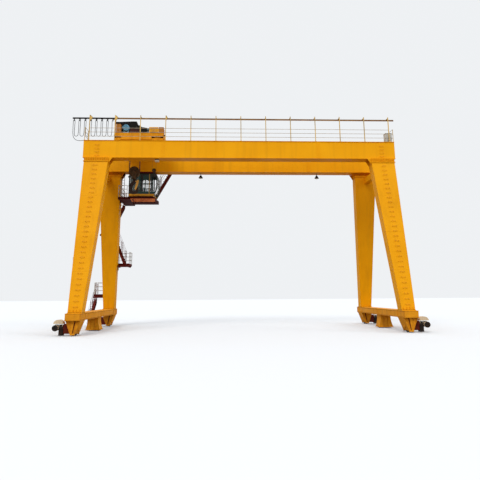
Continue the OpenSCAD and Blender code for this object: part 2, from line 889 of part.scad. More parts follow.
module cab_glass()
  color([0.3, 0.5, 0.5]) place() {
    for (y = [cab_y + cab_t / 2, cab_far - cab_t / 2], x = windows)
      span(
        [x[0] + gap, y - glass_t / 2, window_z[0] + gap],
        [x[1] - gap, y + glass_t / 2, window_z[1] - gap]
      );
    span(
      [cab_x + cab_t / 2 - glass_t / 2, rear_window_y[0] + gap, window_z[0] + gap],
      [cab_x + cab_t / 2 + glass_t / 2, rear_window_y[1] - gap, window_z[1] - gap]
    );
    // Curved front pane between the two side walls
    slab_xz(
      concat(pane_line(pane_in), turned(pane_line(pane_in + glass_t))),
      cab_y + cab_t + gap, cab_far - cab_t - gap
    );
  }

// The front's outline above the sill, moved inwards
pane_in = 20;
function turned(list) = [for (i = [len(list) - 1 : -1 : 0]) list[i]];
function pane_line(inset) = [
  for (i = [1 : len(front) - 1])
    [front[i][0] - inset, front[i][1] - (i == len(front) - 1 ? gap : 0)]
];

module cab_roof()
  color(black) place()
    span([cab_x - 40, cab_y - 40, cab_top - roof_t + gap], [cab_end - 200, cab_far + 40, cab_top]);

// Cab platform and its hangers

// The platform behind and beside the cab, with a deep edge beam under the near side
module cab_platform()
  color(brown) place() {
    span([cab_x - 20, cab_y - 60, landing_d - landing_t], [d_x[1], lane_far[4], landing_d]);
    span([d_x[0], cab_y - 60, landing_d - landing_t], [cab_x - 20 + gap, lane_far[3], landing_d]);
    span([band_x, cab_y - 60, band_z], [d_x[1], cab_y + 40, landing_d - landing_t + gap]);
    span([band_x, cab_y - 80, band_z - 80], [d_x[1] + 20, cab_y + 60, band_z + gap]);
    span([band_x, cab_y - 60, landing_d - gap], [cab_end - nose, cab_far, cab_z - gap]);
    // Bracket on the inner side of the leg
    difference() {
      translate([0, 0, landing_d])
        span([-leg_top_x, seat_y[0], -landing_t], [d_x[0] + gap, seat_y[1], 0]);
      mirror([1, 0, 0])
        leg_shaft(gap);
    }
  }

// Where the deep edge beam starts, and where the hangers stand
band_in = 500;
hanger_in = 600;
hanger_off = 400;
band_x = cab_x + band_in;
band_z = landing_d - landing_t - 260;
seat_y = [leg_mid_y(landing_d) - 250, leg_mid_y(landing_d) + 250];
hanger_x = [cab_x - 60, cab_x + hanger_in / 2, cab_end - hanger_in];

module cab_hangers()
  color(paint) place() {
    // Long hangers behind the cab, and short ones on its roof
    for (y = [girder_y - hanger_off, girder_y + hanger_off]) {
      span([hanger_x[0] - 36, y - 40, landing_d + gap], [hanger_x[0] + 36 - 20, y + 40, clear_h - gap]);
      for (i = [1, 2])
        span([hanger_x[i] - 60, y - 60, cab_top + gap], [hanger_x[i] + 60, y + 60, clear_h - gap]);
    }
    // Ladder shaped hanger at the platform's left end
    translate([d_x[0] + 230, girder_y, 0]) {
      for (x = [-110, 110])
        span([x - 18, -18, landing_d + gap], [x + 18, 18, clear_h - gap]);
      for (z = [landing_d + 250 : 250 : clear_h - 150])
        span([-110, -12, z - 12], [110, 12, z + 12]);
    }
  }

// Posts and three rails along one side of a rectangle, from one corner to the next
module rail_run(a, b, z) {
  n = max(1, ceil(norm(b - a) / 1100));
  for (i = [0 : n])
    let (p = a + (b - a) * i / n)
      translate([p[0], p[1], z])
        span([-rail_t / 2, -rail_t / 2, gap], [rail_t / 2, rail_t / 2, handrail_h]);
  for (i = [0 : 2])
    translate([0, 0, z + handrail_h - i * handrail_step])
      span(
        [min(a[0], b[0]) - rail_t / 2, min(a[1], b[1]) - rail_t / 2, -rail_t],
        [max(a[0], b[0]) + rail_t / 2, max(a[1], b[1]) + rail_t / 2, 0]
      );
}

// Distance of a railing from the platform's edge, and of a frame's end from the next frame
edge = 30;
corner = rail_t + gap;
// The railings' left, right, near and far lines on the platform and on the landings
on_d = [d_x[0] + edge, cab_x - 50, cab_y - edge, lane_far[3] - edge, lane_far[4] - edge];
on_a = [a_x[0] + edge, a_x[1] - edge, lane_y[1] + edge, lane_far[0] - edge];
on_b = [b_x[0] + edge, b_x[1] - edge, lane_y[2] + edge, lane_far[1] - edge];
on_c = [c_x[0] + edge, c_x[1] - edge, lane_y[3] + edge, lane_far[2] - edge];
on_top = [top_x[0] + edge, top_x[1] - edge, girder_y + girder_w / 2 + 60, lane_far[4] - edge];

module platform_railing()
  color(steel) place() {
    rail_run([on_d[0], on_d[2]], [cab_x - 130, on_d[2]], landing_d);
    rail_run([on_d[0], on_d[2] + corner], [on_d[0], lane_y[3] - edge], landing_d);
    rail_run([on_d[0] + edge, on_d[3]], [on_d[1], on_d[3]], landing_d);
    rail_run([on_d[1], lane_far[4] + 60], [on_d[1], on_d[3] - corner], landing_d);
    rail_run([cab_x + edge, on_d[4]], [start_x[4] - 80, on_d[4]], landing_d);
  }

// Stair: each flight rises from one landing to the next

// A flight from a lower end, x0 and z0, to a higher one, with its near side at y. The
// stringers and treads are one piece, between the flat frames of the two handrails.
module flight(x0, z0, x1, z1, y, n) {
  slope = (z1 - z0) / (x1 - x0);
  h = stringer_h * norm([1, slope]);
  y0 = y + rail_t + gap;
  y1 = y + flight_w - rail_t - gap;
  for (s = [y0, y1 - stringer_t])
    slab_xz([[x0, z0], [x1, z1], [x1, z1 - h], [x0 + h / slope, z0]], s, s + stringer_t);
  for (i = [1 : n - 1])
    let (z = z0 + (z1 - z0) * i / n, a = x0 + (z - z0) / slope, b = a + tread_w * sign(slope))
      span(
        [max(min(a, b), min(x0, x1)), y0 + stringer_t - 1, z - tread_t],
        [min(max(a, b), max(x0, x1)), y1 - stringer_t + 1, z]
      );
  for (s = [y, y + flight_w - rail_t]) {
    for (k = [0.04, 0.35, 0.65, 0.96])
      let (x = x0 + (x1 - x0) * k, z = z0 + (z1 - z0) * k)
        span([x - rail_t / 2, s, max(z - stringer_h, z0)], [x + rail_t / 2, s + rail_t, z + stair_rail_h]);
    for (up = [stair_rail_h, stair_rail_h - 450])
      slab_xz([[x0, z0 + up - rail_t], [x0, z0 + up], [x1, z1 + up], [x1, z1 + up - rail_t]], s, s + rail_t);
  }
}

top_tread_n = tread_n + 4;

module stair_flights()
  color(maroon) place() {
    flight(start_x[0], foot_z, a_x[0] - gap, landing_a, lane_y[0], tread_n);
    flight(start_x[1], landing_a + gap, b_x[0] - gap, landing_b, lane_y[1], tread_n);
    flight(start_x[2], landing_b + gap, c_x[1] + gap, landing_c, lane_y[2], tread_n);
    flight(start_x[3], landing_c + gap, d_x[0] - gap, landing_d, lane_y[3], tread_n);
    flight(start_x[4], landing_d + gap, top_x[0] - gap, girder_top, lane_y[4], top_tread_n);
  }

landings = [
  [a_x, lane_y[1], lane_far[0], landing_a],
  [b_x, lane_y[2], lane_far[1], landing_b],
  [c_x, lane_y[3], lane_far[2], landing_c],
  [top_x, girder_y + girder_w / 2 + gap, lane_far[4], girder_top]
];

module stair_landings()
  color(maroon) place()
    for (p = landings)
      span([p[0][0], p[1], p[3] - landing_t], [p[0][1], p[2], p[3]]);

module landing_railing()
  color(steel) place() {
    // First landing: far side, right end, left end and near side
    rail_run([on_a[0] + edge, on_a[3]], [on_a[1], on_a[3]], landing_a);
    rail_run([on_a[1], lane_far[1] + 60], [on_a[1], on_a[3] - corner], landing_a);
    rail_run([on_a[0], on_a[2]], [on_a[0], lane_y[0] - 60], landing_a);
    rail_run([on_a[0] + corner, on_a[2]], [start_x[1] - 60, on_a[2]], landing_a);
    // Second landing
    rail_run([on_b[0] + edge, on_b[3]], [on_b[1], on_b[3]], landing_b);
    rail_run([on_b[1], on_b[2]], [on_b[1], on_b[3] - corner], landing_b);
    // Third landing
    rail_run([on_c[0], on_c[3]], [on_c[1] - edge, on_c[3]], landing_c);
    rail_run([on_c[0], on_c[2]], [on_c[0], on_c[3] - corner], landing_c);
    rail_run([on_c[0] + corner, on_c[2]], [start_x[3] - 60, on_c[2]], landing_c);
    // Top landing
    rail_run([on_top[0] + edge, on_top[3]], [on_top[1], on_top[3]], girder_top);
    rail_run([on_top[1], on_top[2]], [on_top[1], on_top[3] - corner], girder_top);
  }

// Beams that stand out from the far left leg's far face and carry the landings
bracket_h = 140;

module leg_bracket(p, x0, x1) {
  z1 = p[3] - landing_t - gap;
  difference() {
    span([x0, leg_mid_y(p[3]), z1 - bracket_h], [x1, p[1] + 100, z1]);
    mirror([1, 0, 0])
      leg_shaft(gap);
  }
  for (x = [p[0][0] + 80, p[0][1] - 180])
    span([x, p[1] + 100 - gap, z1 - bracket_h], [x + 100, p[2] - 60, z1]);
}

module stair_brackets()
  color(maroon) place() {
    leg_bracket(landings[0], a_x[0] + 40, -leg_mid_x(landing_a));
    leg_bracket(landings[1], -leg_mid_x(landing_b), b_x[1] - 40);
    leg_bracket(landings[2], c_x[0] + 40, -leg_mid_x(landing_c) + 300);
    // Bracket from the girder's web under the top landing
    for (x = [top_x[0] + 80, top_x[1] - 180])
      slab_yz(
        [
          [girder_y + web_w / 2 + gap, girder_top - landing_t - gap - 700],
          [girder_y + web_w / 2 + gap + 80, girder_top - landing_t - gap - 700],
          [lane_far[4] - 60, girder_top - landing_t - gap - 100],
          [lane_far[4] - 60, girder_top - landing_t - gap],
          [girder_y + web_w / 2 + gap, girder_top - landing_t - gap]
        ],
        x, x + 60
      );
  }

// Trolley

module trolley_frame()
  color(paint) place() {
    for (s = [-1, 1])
      translate([0, s * girder_y, 0])
        difference() {
          union() {
            span([trolley_x, -side_w / 2, side_z0], [trolley_end, side_w / 2, side_z1]);
            span([trolley_x + 560, -side_w / 2, rail_top + 60], [trolley_end - 1000, side_w / 2, side_z1]);
          }
          for (x = trolley_wheel_x)
            span(
              [x - trolley_wheel_d / 2 - 20, -trolley_wheel_w / 2 - 12, 0],
              [x + trolley_wheel_d / 2 + 20, trolley_wheel_w / 2 + 12, rail_top + trolley_wheel_d + 20]
            );
        }
    for (x = [[trolley_x, trolley_x + 800], [main_x + 700, main_x + 980], [trolley_end - 300, trolley_end]])
      span([x[0], side_w / 2 - girder_y - 1, side_z0], [x[1], girder_y - side_w / 2 + 1, side_z1]);
    // Longitudinal bearers under the winches
    for (s = [-1, 1])
      span([trolley_x, s * bearer_y - 90, side_z0], [trolley_end, s * bearer_y + 90, side_z1]);
  }

module trolley_wheels()
  color(black) place()
    for (s = [-1, 1], x = trolley_wheel_x) {
      bar_y(
        s * girder_y - trolley_wheel_w / 2, s * girder_y + trolley_wheel_w / 2,
        x, rail_top + gap + trolley_wheel_d / 2, trolley_wheel_d
      );
      bar_y(
        s * girder_y - trolley_wheel_w / 2 - 12 + gap, s * girder_y + trolley_wheel_w / 2 + 12 - gap,
        x, rail_top + gap + trolley_wheel_d / 2, 120
      );
    }

// The winch motor stands on a foot of its own at the near side
hoist_motor_y = -1960;
hoist_motor_up = 520;

module main_winch()
  color(steel) place() {
    bar_y(-drum_l / 2, drum_l / 2, main_x, shaft_z, 2 * drum_r);
    bar_y(-bearer_y - 40, bearer_y + 40, main_x, shaft_z, 130);
    for (s = [-1, 1])
      translate([main_x, s * bearer_y, 0])
        span([-150, -60, side_z1 + gap], [150, 60, shaft_z + 110]);
    translate([main_x - hoist_motor_off, hoist_motor_y, side_z1]) {
      bar_y(0, hoist_motor_l, 0, hoist_motor_up, hoist_motor_d);
      span([-240, 0, gap], [240, hoist_motor_l, hoist_motor_up - 160]);
    }
  }

module small_winch()
  color(paint) place() {
    bar_y(-400, 900, aux_x, aux_shaft_z, 2 * aux_r);
    translate([aux_x, 0, side_z1]) {
      span([-440, -1460, gap], [380, -400, 820]);
      span([-aux_r, 880, gap], [aux_r, 980, shaft_up]);
    }
  }

// Profile of the hood's top, from the main drum's middle and the trolley's top
hood_profile = [[60, 1390], [260, 1030], [580, 1030], [760, 870], [1200, 810]];
hood_x = trolley_x + 150;
hood_end = main_x + 1200;
hood_left_h = 1330;
hood_foot = 60;

function hood_outline(inset, z0) = concat(
  [[hood_x + inset, z0], [hood_x + inset, side_z1 + hood_left_h - inset]],
  [for (p = hood_profile) [main_x + p[0] - inset, side_z1 + p[1] - inset]],
  [[hood_end - inset, z0]]
);

module winch_hood()
  color(black) place() {
    difference() {
      slab_xz(hood_outline(0, side_z1 + hood_foot), -hood_w / 2, hood_w / 2);
      slab_xz(hood_outline(hood_t, 0), hood_t - hood_w / 2, hood_w / 2 - hood_t);
    }
    for (x = [hood_x, hood_end - hood_foot], s = [-1, 1])
      translate([x, s * (hood_w / 2 - 30), side_z1])
        span([0, -30, gap], [hood_foot, 30, hood_foot + 2]);
  }

// Cabinet at the trolley's left end and the arm that tows the last cable carrier
module trolley_cabinet()
  color(brown) place() {
    span(
      [trolley_x + 100, -girder_y - side_w / 2 + 40, side_z1 + gap],
      [trolley_x + 460, -girder_y + side_w / 2 - 20, side_z1 + 950]
    );
    // Low box at the right end
    span(
      [trolley_end - 400, -girder_y - side_w / 2, side_z1 + gap],
      [trolley_end - 10, -girder_y + side_w / 2 + 300, side_z1 + 500]
    );
    // Arm that tows the last carrier
    translate([0, track_y, 0]) {
      span([trolley_x + 20, -25, side_z1 + gap], [trolley_x + 70, 25, arm_z + 50]);
      span([clamp_x + carrier_n * carrier_pitch + 70 + gap, -25, arm_z], [trolley_x + 70, 25, arm_z + 50]);
    }
  }

module main_ropes()
  color(maroon) place()
    for (s = [-1, 1], y = [-1.5, -0.5, 0.5, 1.5])
      bar_z(block_z, shaft_z, main_x + s * rope_x, y * sheave_pitch, rope_d);

module small_ropes()
  color(maroon) place()
    for (s = [-1, 1])
      bar_z(aux_z, aux_shaft_z, aux_x + s * aux_rope_x, 0, aux_rope_d);

// Hooks

module sheave(r, w, bore, groove)
  rotate([90, 0, 0])
    rotate_extrude($fn = 96)
      polygon([
        [bore, -w / 2], [r + groove, -w / 2], [r + groove, -w / 2 + 6], [r, -groove / 2 - 1],
        [r, groove / 2 + 1], [r + groove, w / 2 - 6], [r + groove, w / 2], [bore, w / 2]
      ]);

// A cheek plate of a block, which narrows above the axle and below it
module cheek(w, top, low, y, t)
  slab_xz(
    [[-w * 0.75, -low], [w * 0.75, -low], [w, top / 3], [w * 0.55, top], [-w * 0.55, top], [-w, top / 3]],
    y - t / 2, y + t / 2
  );

// A hook's bowl: a ring with its throat open to the upper right
module bowl(r, throat, t, shift)
  translate([0, t / 2, 0])
    rotate([90, 0, 0])
      linear_extrude(t)
        difference() {
          circle(r = r, $fn = 96);
          translate(shift)
            circle(r = throat, $fn = 96);
          translate([throat / 2, throat / 2])
            square(r);
        }

cheek_off = 2 * sheave_pitch + 20;
cheek_low = 700;
shank_d = 190;

module main_block()
  color(black) place()
    translate([main_x, 0, block_z]) {
      for (y = [-1.5, -0.5, 0.5, 1.5])
        translate([0, y * sheave_pitch, 0])
          sheave(drum_r, sheave_w, 0, rope_d);
      bar_y(-cheek_off - 40, cheek_off + 40, 0, 0, 140);
      for (s = [-1, 1])
        cheek(200, 170, cheek_low, s * cheek_off, 28);
      span([-140, -cheek_off, 10 - cheek_low], [140, cheek_off, 160 - cheek_low]);
    }

module main_hook()
  color(black) place()
    translate([main_x, 0, hook_z]) {
      bar_z(hook_r - 60, hook_drop - cheek_low + 10 - gap, 0, 0, shank_d);
      bowl(hook_r, throat_r, hook_t, [20, 30]);
    }

aux_cheek_low = 260;
aux_hook_r = 100;

module small_block()
  color(black) place()
    translate([aux_x, 0, aux_z]) {
      sheave(aux_r, 50, 0, aux_rope_d);
      for (s = [-1, 1])
        cheek(90, 80, aux_cheek_low, s * 45, 16);
      bar_y(-60, 60, 0, 0, 60);
      span([-60, -45, 5 - aux_cheek_low], [60, 45, 60 - aux_cheek_low]);
    }

module small_hook()
  color(black) place()
    translate([aux_x, 0, aux_z - aux_cheek_low]) {
      bar_z(-70, 5 - gap, 0, 0, 50);
      translate([0, 0, -150])
        bowl(aux_hook_r, 52, 50, [5, 8]);
    }

near_girder();
far_girder();
trolley_rails();
tie_beams();
near_left_leg();
near_right_leg();
far_left_leg();
far_right_leg();
left_ground_beam();
right_ground_beam();
wheel_boxes();
travel_drives();
anchor_pedestals();
climbing_rungs();
near_railing();
far_railing();
cable_track();
trailing_cable();
junction_boxes();
lamps();
cab_floor();
cab_walls();
cab_glass();
cab_roof();
cab_platform();
cab_hangers();
platform_railing();
stair_flights();
stair_landings();
landing_railing();
stair_brackets();
trolley_frame();
trolley_wheels();
main_winch();
small_winch();
winch_hood();
trolley_cabinet();
main_ropes();
small_ropes();
main_block();
main_hook();
small_block();
small_hook();
near_left_wheel();
near_right_wheel();
far_left_wheel();
far_right_wheel();
carrier_1();
carrier_2();
carrier_3();
carrier_4();
carrier_5();
carrier_6();
carrier_7();
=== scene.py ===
import math

import bmesh
import bpy
from mathutils import Matrix, Vector


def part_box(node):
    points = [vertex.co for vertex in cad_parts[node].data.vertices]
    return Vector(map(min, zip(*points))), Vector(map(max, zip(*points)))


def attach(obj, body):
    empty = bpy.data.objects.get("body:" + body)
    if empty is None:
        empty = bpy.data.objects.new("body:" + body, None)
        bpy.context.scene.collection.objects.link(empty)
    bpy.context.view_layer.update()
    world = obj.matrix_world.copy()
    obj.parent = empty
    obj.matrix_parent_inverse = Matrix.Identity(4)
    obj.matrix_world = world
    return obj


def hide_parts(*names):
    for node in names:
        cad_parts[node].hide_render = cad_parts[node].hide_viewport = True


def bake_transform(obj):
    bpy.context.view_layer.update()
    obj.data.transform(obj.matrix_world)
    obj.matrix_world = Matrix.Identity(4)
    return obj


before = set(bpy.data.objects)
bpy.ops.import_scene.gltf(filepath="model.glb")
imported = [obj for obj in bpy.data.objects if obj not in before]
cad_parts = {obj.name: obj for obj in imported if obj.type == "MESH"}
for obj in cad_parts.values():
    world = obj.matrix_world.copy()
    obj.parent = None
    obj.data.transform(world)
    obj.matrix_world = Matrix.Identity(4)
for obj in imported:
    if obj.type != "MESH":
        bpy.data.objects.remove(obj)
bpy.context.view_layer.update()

# Camera. It stands in front of the crane's left half and looks a little up and to the right,
# as the photograph was taken. Here and below, places are in metres from the middle of the
# crane on the ground, and piece() moves them into the frame.
near_box, far_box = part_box("near_girder"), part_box("far_girder")
middle = Vector(((near_box[0][0] + near_box[1][0]) / 2, (near_box[0][1] + far_box[1][1]) / 2, 0))
eye = Vector((-1.64, -39.29, 2.77))
yaw, pitch, roll = (math.radians(angle) for angle in (2.37, 11.19, -0.41))
focal_pixels, image_pixels, sensor, axis_row = 458.8, 480, 36, 204.05
aim = (Matrix.Rotation(-yaw, 4, "Z") @ Matrix.Rotation(math.pi / 2 + pitch, 4, "X")
       @ Matrix.Rotation(roll, 4, "Z"))
camera = bpy.data.objects.new("camera", bpy.data.cameras.new("camera"))
camera.matrix_world = Matrix.Translation(middle + eye) @ aim
camera.data.sensor_width = sensor
camera.data.lens = focal_pixels * sensor / image_pixels
camera.data.shift_y = (axis_row - image_pixels / 2) / image_pixels
camera.data.clip_end = 500
bpy.context.collection.objects.link(camera)
bpy.context.scene.camera = camera


# Trailing cable. A black rubber cable hangs in seven loops from a fixed clamp and seven
# carriers, and its lead drops from the clamp and enters the end of the girder.
class Value:
    """An output of a finish's nodes, on which arithmetic adds Math nodes."""

    def __init__(self, finish, socket):
        self.finish, self.socket = finish, socket

    def maths(self, operation, other):
        return self.finish.node("ShaderNodeMath", {"operation": operation}, self, other)

    def __add__(self, other):
        return self.maths("ADD", other)

    def __sub__(self, other):
        return self.maths("SUBTRACT", other)

    def __mul__(self, other):
        return self.maths("MULTIPLY", other)

    def __gt__(self, other):
        return self.maths("GREATER_THAN", other)

    def __lt__(self, other):
        return self.maths("LESS_THAN", other)

    def clipped(self, low, high):
        """0 at low, 1 at high, straight between them and level beyond them."""
        return self.finish.node("ShaderNodeMapRange", {}, self, low, high)


class Finish:
    """The nodes of a material, or of the world, as they are made."""

    def __init__(self, name, owners=bpy.data.materials, space="Object"):
        self.owner = owners.new(name)
        self.owner.use_nodes = True
        self.tree = self.owner.node_tree
        self.shader = self.tree.nodes.get("Principled BSDF") or self.tree.nodes["Background"]
        self.coordinates = self.node("ShaderNodeTexCoord", {}, output=space)

    def node(self, kind, settings, *values, output=0, **named):
        made = self.tree.nodes.new(kind)
        for key, setting in settings.items():
            setattr(made, key, setting)
        for socket, value in [*zip(made.inputs, values), *((made.inputs[key], named[key]) for key in named)]:
            self.set(socket, value)
        return Value(self, made.outputs[output])

    def set(self, socket, value):
        if isinstance(value, Value):
            self.tree.links.new(value.socket, socket)
        else:
            socket.default_value = value

    def axis(self, name):
        """A coordinate from the middle of the crane."""
        here = self.node("ShaderNodeSeparateXYZ", {}, self.coordinates, output=name)
        return here - getattr(middle, name.lower())

    def noise(self, scale, detail=3, stretch=(1, 1, 1)):
        place = self.node("ShaderNodeVectorMath", {"operation": "MULTIPLY"}, self.coordinates, stretch)
        return self.node("ShaderNodeTexNoise", {}, Vector=place, Scale=scale, Detail=detail, Roughness=0.55)

    def mix(self, factor, first, second):
        """A mix of two colours; three numbers are red, green and blue as a screen shows them."""
        mixer = self.tree.nodes.new("ShaderNodeMix")
        mixer.data_type = "RGBA"
        self.set(mixer.inputs[0], factor)
        for index, value in ((6, first), (7, second)):
            if isinstance(value, tuple) and len(value) == 3:
                shown = [part / 255 for part in value]
                value = *[c / 12.92 if c <= 0.04045 else ((c + 0.055) / 1.055) ** 2.4 for c in shown], 1
            self.set(mixer.inputs[index], value)
        return Value(self, mixer.outputs[2])

    def bump(self, height, distance):
        made = self.node("ShaderNodeBump", {}, Strength=1, Distance=distance, Height=height)
        self.set(self.shader.inputs["Normal"], made)

    def shade(self, base, roughness, **sockets):
        for name, value in {"Base_Color": base, "Roughness": roughness, **sockets}.items():
            self.set(self.shader.inputs[name.replace("_", " ")], value)
        return self.owner


def mottled(name, first, second, spots, low, high, grain, distance, roughness, more=0.0, **sockets):
    """A finish of two colours in spots, of which the second is rougher by more."""
    finish = Finish(name)
    amount = finish.noise(*spots).clipped(low, high)
    finish.bump(finish.noise(*grain), distance)
    return finish.shade(finish.mix(amount, first, second), amount * more + roughness, **sockets)


def extent(node):
    """The lowest and the highest corner of a node."""
    return [Vector(corner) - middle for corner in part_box(node)]


def piece(name, mesh, material, body="crane", hides=(), smooth=None):
    """A bmesh made an object. Faces that meet flatter than smooth degrees are shaded round."""
    bmesh.ops.translate(mesh, vec=middle, verts=mesh.verts)
    bmesh.ops.recalc_face_normals(mesh, faces=mesh.faces)
    data = bpy.data.meshes.new(name)
    mesh.to_mesh(data)
    mesh.free()
    made = bpy.data.objects.new(name, data)
    bpy.context.collection.objects.link(made)
    data.materials.append(material)
    if smooth is not None:
        data.shade_smooth()
        data.set_sharp_from_angle(angle=math.radians(smooth))
    if body:
        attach(made, body)
    if hides:
        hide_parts(*hides)
    return made


def tube(mesh, points, radius, sides=12):
    """A round tube along points, with rings that turn as little as they can, and closed ends."""
    points = [Vector(p) for p in points]
    across, rings = None, []
    for i, point in enumerate(points):
        ahead = (points[min(i + 1, len(points) - 1)] - points[max(i - 1, 0)]).normalized()
        side = across or (Vector((0, 1, 0)) if abs(ahead.y) < 0.9 else Vector((1, 0, 0)))
        across = (side - ahead * side.dot(ahead)).normalized()
        turned = Matrix((across, ahead.cross(across), ahead)).transposed().to_4x4()
        rings.append(bmesh.ops.create_circle(
            mesh, cap_ends=i in (0, len(points) - 1), segments=sides, radius=radius,
            matrix=Matrix.Translation(point) @ turned,
        )["verts"])
    for pair in zip(rings, rings[1:]):
        edges = {edge for ring in pair for vert in ring for edge in vert.link_edges}
        whole = [edge for edge in edges if any(all(vert in ring for vert in edge.verts) for ring in pair)]
        bmesh.ops.bridge_loops(mesh, edges=whole)
    return rings


def smoothed(points, steps=4):
    """Points along one smooth curve through a route's own points, however unevenly they lie."""
    points = [Vector(p) for p in points]
    ends = [2 * points[0] - points[1], *points, 2 * points[-1] - points[-2]]
    line = []
    for before, start, end, after in zip(ends, ends[1:], ends[2:], ends[3:]):
        pairs = ((before, start), (start, end), (end, after))
        a, b, c = (math.sqrt(max((second - first).length, 1e-6)) for first, second in pairs)
        straight = end - start
        leave = straight + b * ((start - before) / a - (end - before) / (a + b))
        arrive = straight + b * ((after - end) / c - (after - start) / (b + c))
        for t in (k / steps for k in range(steps)):
            bend = t * t * (3 * straight - 2 * leave - arrive) + t ** 3 * (leave + arrive - 2 * straight)
            line.append(start + t * leave + bend)
    return line + [points[-1]]


cable_low, cable_high = extent("trailing_cable")
cable_diameter, carrier_count, carrier_gap, saddle_radius = 0.04, 7, 0.46, 0.07
over_saddle = [(0, saddle_radius), (0.027, 0.065), (0.05, 0.05), (0.065, 0.027), (saddle_radius, 0)]
half_loop = over_saddle + [(0.074, -1.16), (0.12, -1.3), (carrier_gap / 2, -1.35)]
loop_route = half_loop + [(carrier_gap - x, z) for x, z in half_loop[-2::-1]]
lead_route = [(-x, z) for x, z in over_saddle]
lead_route += [(-0.066, -0.7), (-0.04, -1.2), (0.06, -1.5), (0.26, -1.68), (0.52, -1.74), (0.76, -1.73),
               (0.98, -1.71)]
cable_y = (cable_low.y + cable_high.y) / 2
half_flat = cable_diameter / 2 * math.cos(math.pi / 8)
saddle_z = cable_high.z - saddle_radius - half_flat
clamp_x = cable_low.x + saddle_radius + half_flat
black_rubber = mottled("cable_rubber", (14, 14, 15), (34, 33, 32), (6, 4), 0.45, 0.75, (180, 2), 0.001, 0.62)
carrier_bodies = ["crane"] + [f"carrier_{i}_body" for i in range(1, carrier_count + 1)]

for i in range(-1, carrier_count):
    name, body, shape, steps = f"cable_loop_{i + 1}", None, loop_route, 5
    if i < 0:
        name, body, shape, steps = "cable_lead", "crane", lead_route, 6
    start = Vector((clamp_x + max(i, 0) * carrier_gap, cable_y, saddle_z))
    line = smoothed([start + Vector((x, 0, z)) for x, z in shape], steps)
    mesh = bmesh.new()
    tube(mesh, line, cable_diameter / 2)
    cable = piece(name, mesh, black_rubber, body, ["trailing_cable"], 60)
    if i >= 0:
        reach, next_one = Vector((saddle_radius, 0, 0)), Vector((carrier_gap, 0, 0))
        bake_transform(cable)
    line = [middle + point for point in line]
    length = sum((b - a).length for a, b in zip(line, line[1:]))


# Studio. A pale floor and backdrop, an overcast dome that is bright above and dim below,
# one wide soft lamp over the camera's left shoulder and a weaker one from the right.
floor_size, backdrop = 240, (0.86, 0.88, 0.9, 1)
pale = Finish("floor")
seen, glossy = (pale.node("ShaderNodeLightPath", {}, output=f"Is {kind} Ray") for kind in ("Camera", "Glossy"))
floor_colour = pale.mix(seen.maths("MAXIMUM", glossy), (136, 118, 96), (218, 220, 222))
mesh = bmesh.new()
bmesh.ops.create_grid(mesh, x_segments=1, y_segments=1, size=floor_size)
piece("floor", mesh, pale.shade(floor_colour, 1, Specular_IOR_Level=0), body=None)

sky = Finish("sky", bpy.data.worlds, "Generated")
dome = sky.node("ShaderNodeValToRGB", {}, sky.axis("Z").clipped(-1, 1))
tones = ((0.45, (0.2, 0.17, 0.14, 1)), (0.56, (1.08, 1.11, 1.15, 1)))
for element, (place, tone) in zip(dome.socket.node.color_ramp.elements, tones):
    element.position, element.color = place, tone
seen = sky.node("ShaderNodeLightPath", {}, output="Is Camera Ray")
sky.set(sky.shader.inputs["Color"], sky.mix(seen, dome, backdrop))
bpy.context.scene.world = sky.owner

for name, energy, toward in (("sun", 1.15, (0.35, 0.75, -0.75)), ("fill", 0.55, (-0.8, 0.35, -0.45))):
    lamp = bpy.data.objects.new(name, bpy.data.lights.new(name, "SUN"))
    lamp.data.energy = energy
    lamp.data.angle = math.radians(25)
    lamp.data.color = (1.0, 0.97, 0.92)
    lamp.rotation_euler = Vector(toward).to_track_quat("-Z", "Y").to_euler()
    bpy.context.collection.objects.link(lamp)
bpy.context.scene.view_settings.view_transform = "Standard"


# Girders. Two box girders welded from steel plate and joined from three lengths with bolted
# cover plates; rain has washed dirt down the faces, and the paint has dulled unevenly.
def paint(name, main, dull, dirt, roughness=0.42, streaks=0.5, rust=0.0, grain=60):
    """Weathered gloss paint on steel, with the colours of its main, dull and dirty parts."""
    finish = Finish(name)
    clouds = finish.noise(0.35, 5).clipped(0.35, 0.7)
    washed = finish.noise(1.6, 4, (1.6, 1.6, 0.09)).clipped(0.5, 0.78)
    specks = finish.noise(9, 6).clipped(0.62, 0.75)
    splash = finish.axis("Z").clipped(2.2, 0.2) * finish.noise(3, 5).clipped(0.3, 0.7)
    base = finish.mix(washed * streaks, finish.mix(clouds * 0.6, main, dull), dirt)
    base = finish.mix(specks * (0.25 + rust) + splash * 0.35, base, (96, 52, 20))
    finish.bump(finish.noise(2.2) + finish.noise(grain, 2) * 0.1, 0.004)
    return finish.shade(base, clouds * 0.15 + (roughness + 0.1), Specular_IOR_Level=0.08)


def repaint(material, *nodes):
    for node in nodes:
        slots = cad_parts[node].data.materials
        slots.clear()
        slots.append(material)


def block(mesh, first, second):
    """A box between two opposite corners."""
    first, second = Vector(first), Vector(second)
    sizes = (abs(size) for size in second - first)
    place = Matrix.Translation((first + second) / 2) @ Matrix.Diagonal((*sizes, 1))
    return bmesh.ops.create_cube(mesh, size=1, matrix=place)["verts"]


def rod(mesh, start, end, radius, sides=16):
    """A round bar from start to end."""
    start, end = Vector(start), Vector(end)
    turned = (end - start).to_track_quat("Z", "Y").to_matrix().to_4x4()
    bmesh.ops.create_cone(
        mesh, cap_ends=True, segments=sides, radius1=radius, radius2=radius,
        depth=(end - start).length, matrix=Matrix.Translation((start + end) / 2) @ turned,
    )


def bolts(mesh, places, out, size):
    """Hexagon bolt heads on washers, which stand out along out."""
    out = Vector(out) * size
    for place in map(Vector, places):
        rod(mesh, place, place + out * 0.25, size * 1.15, 12)
        rod(mesh, place + out * 0.2, place + out * 0.95, size, 6)


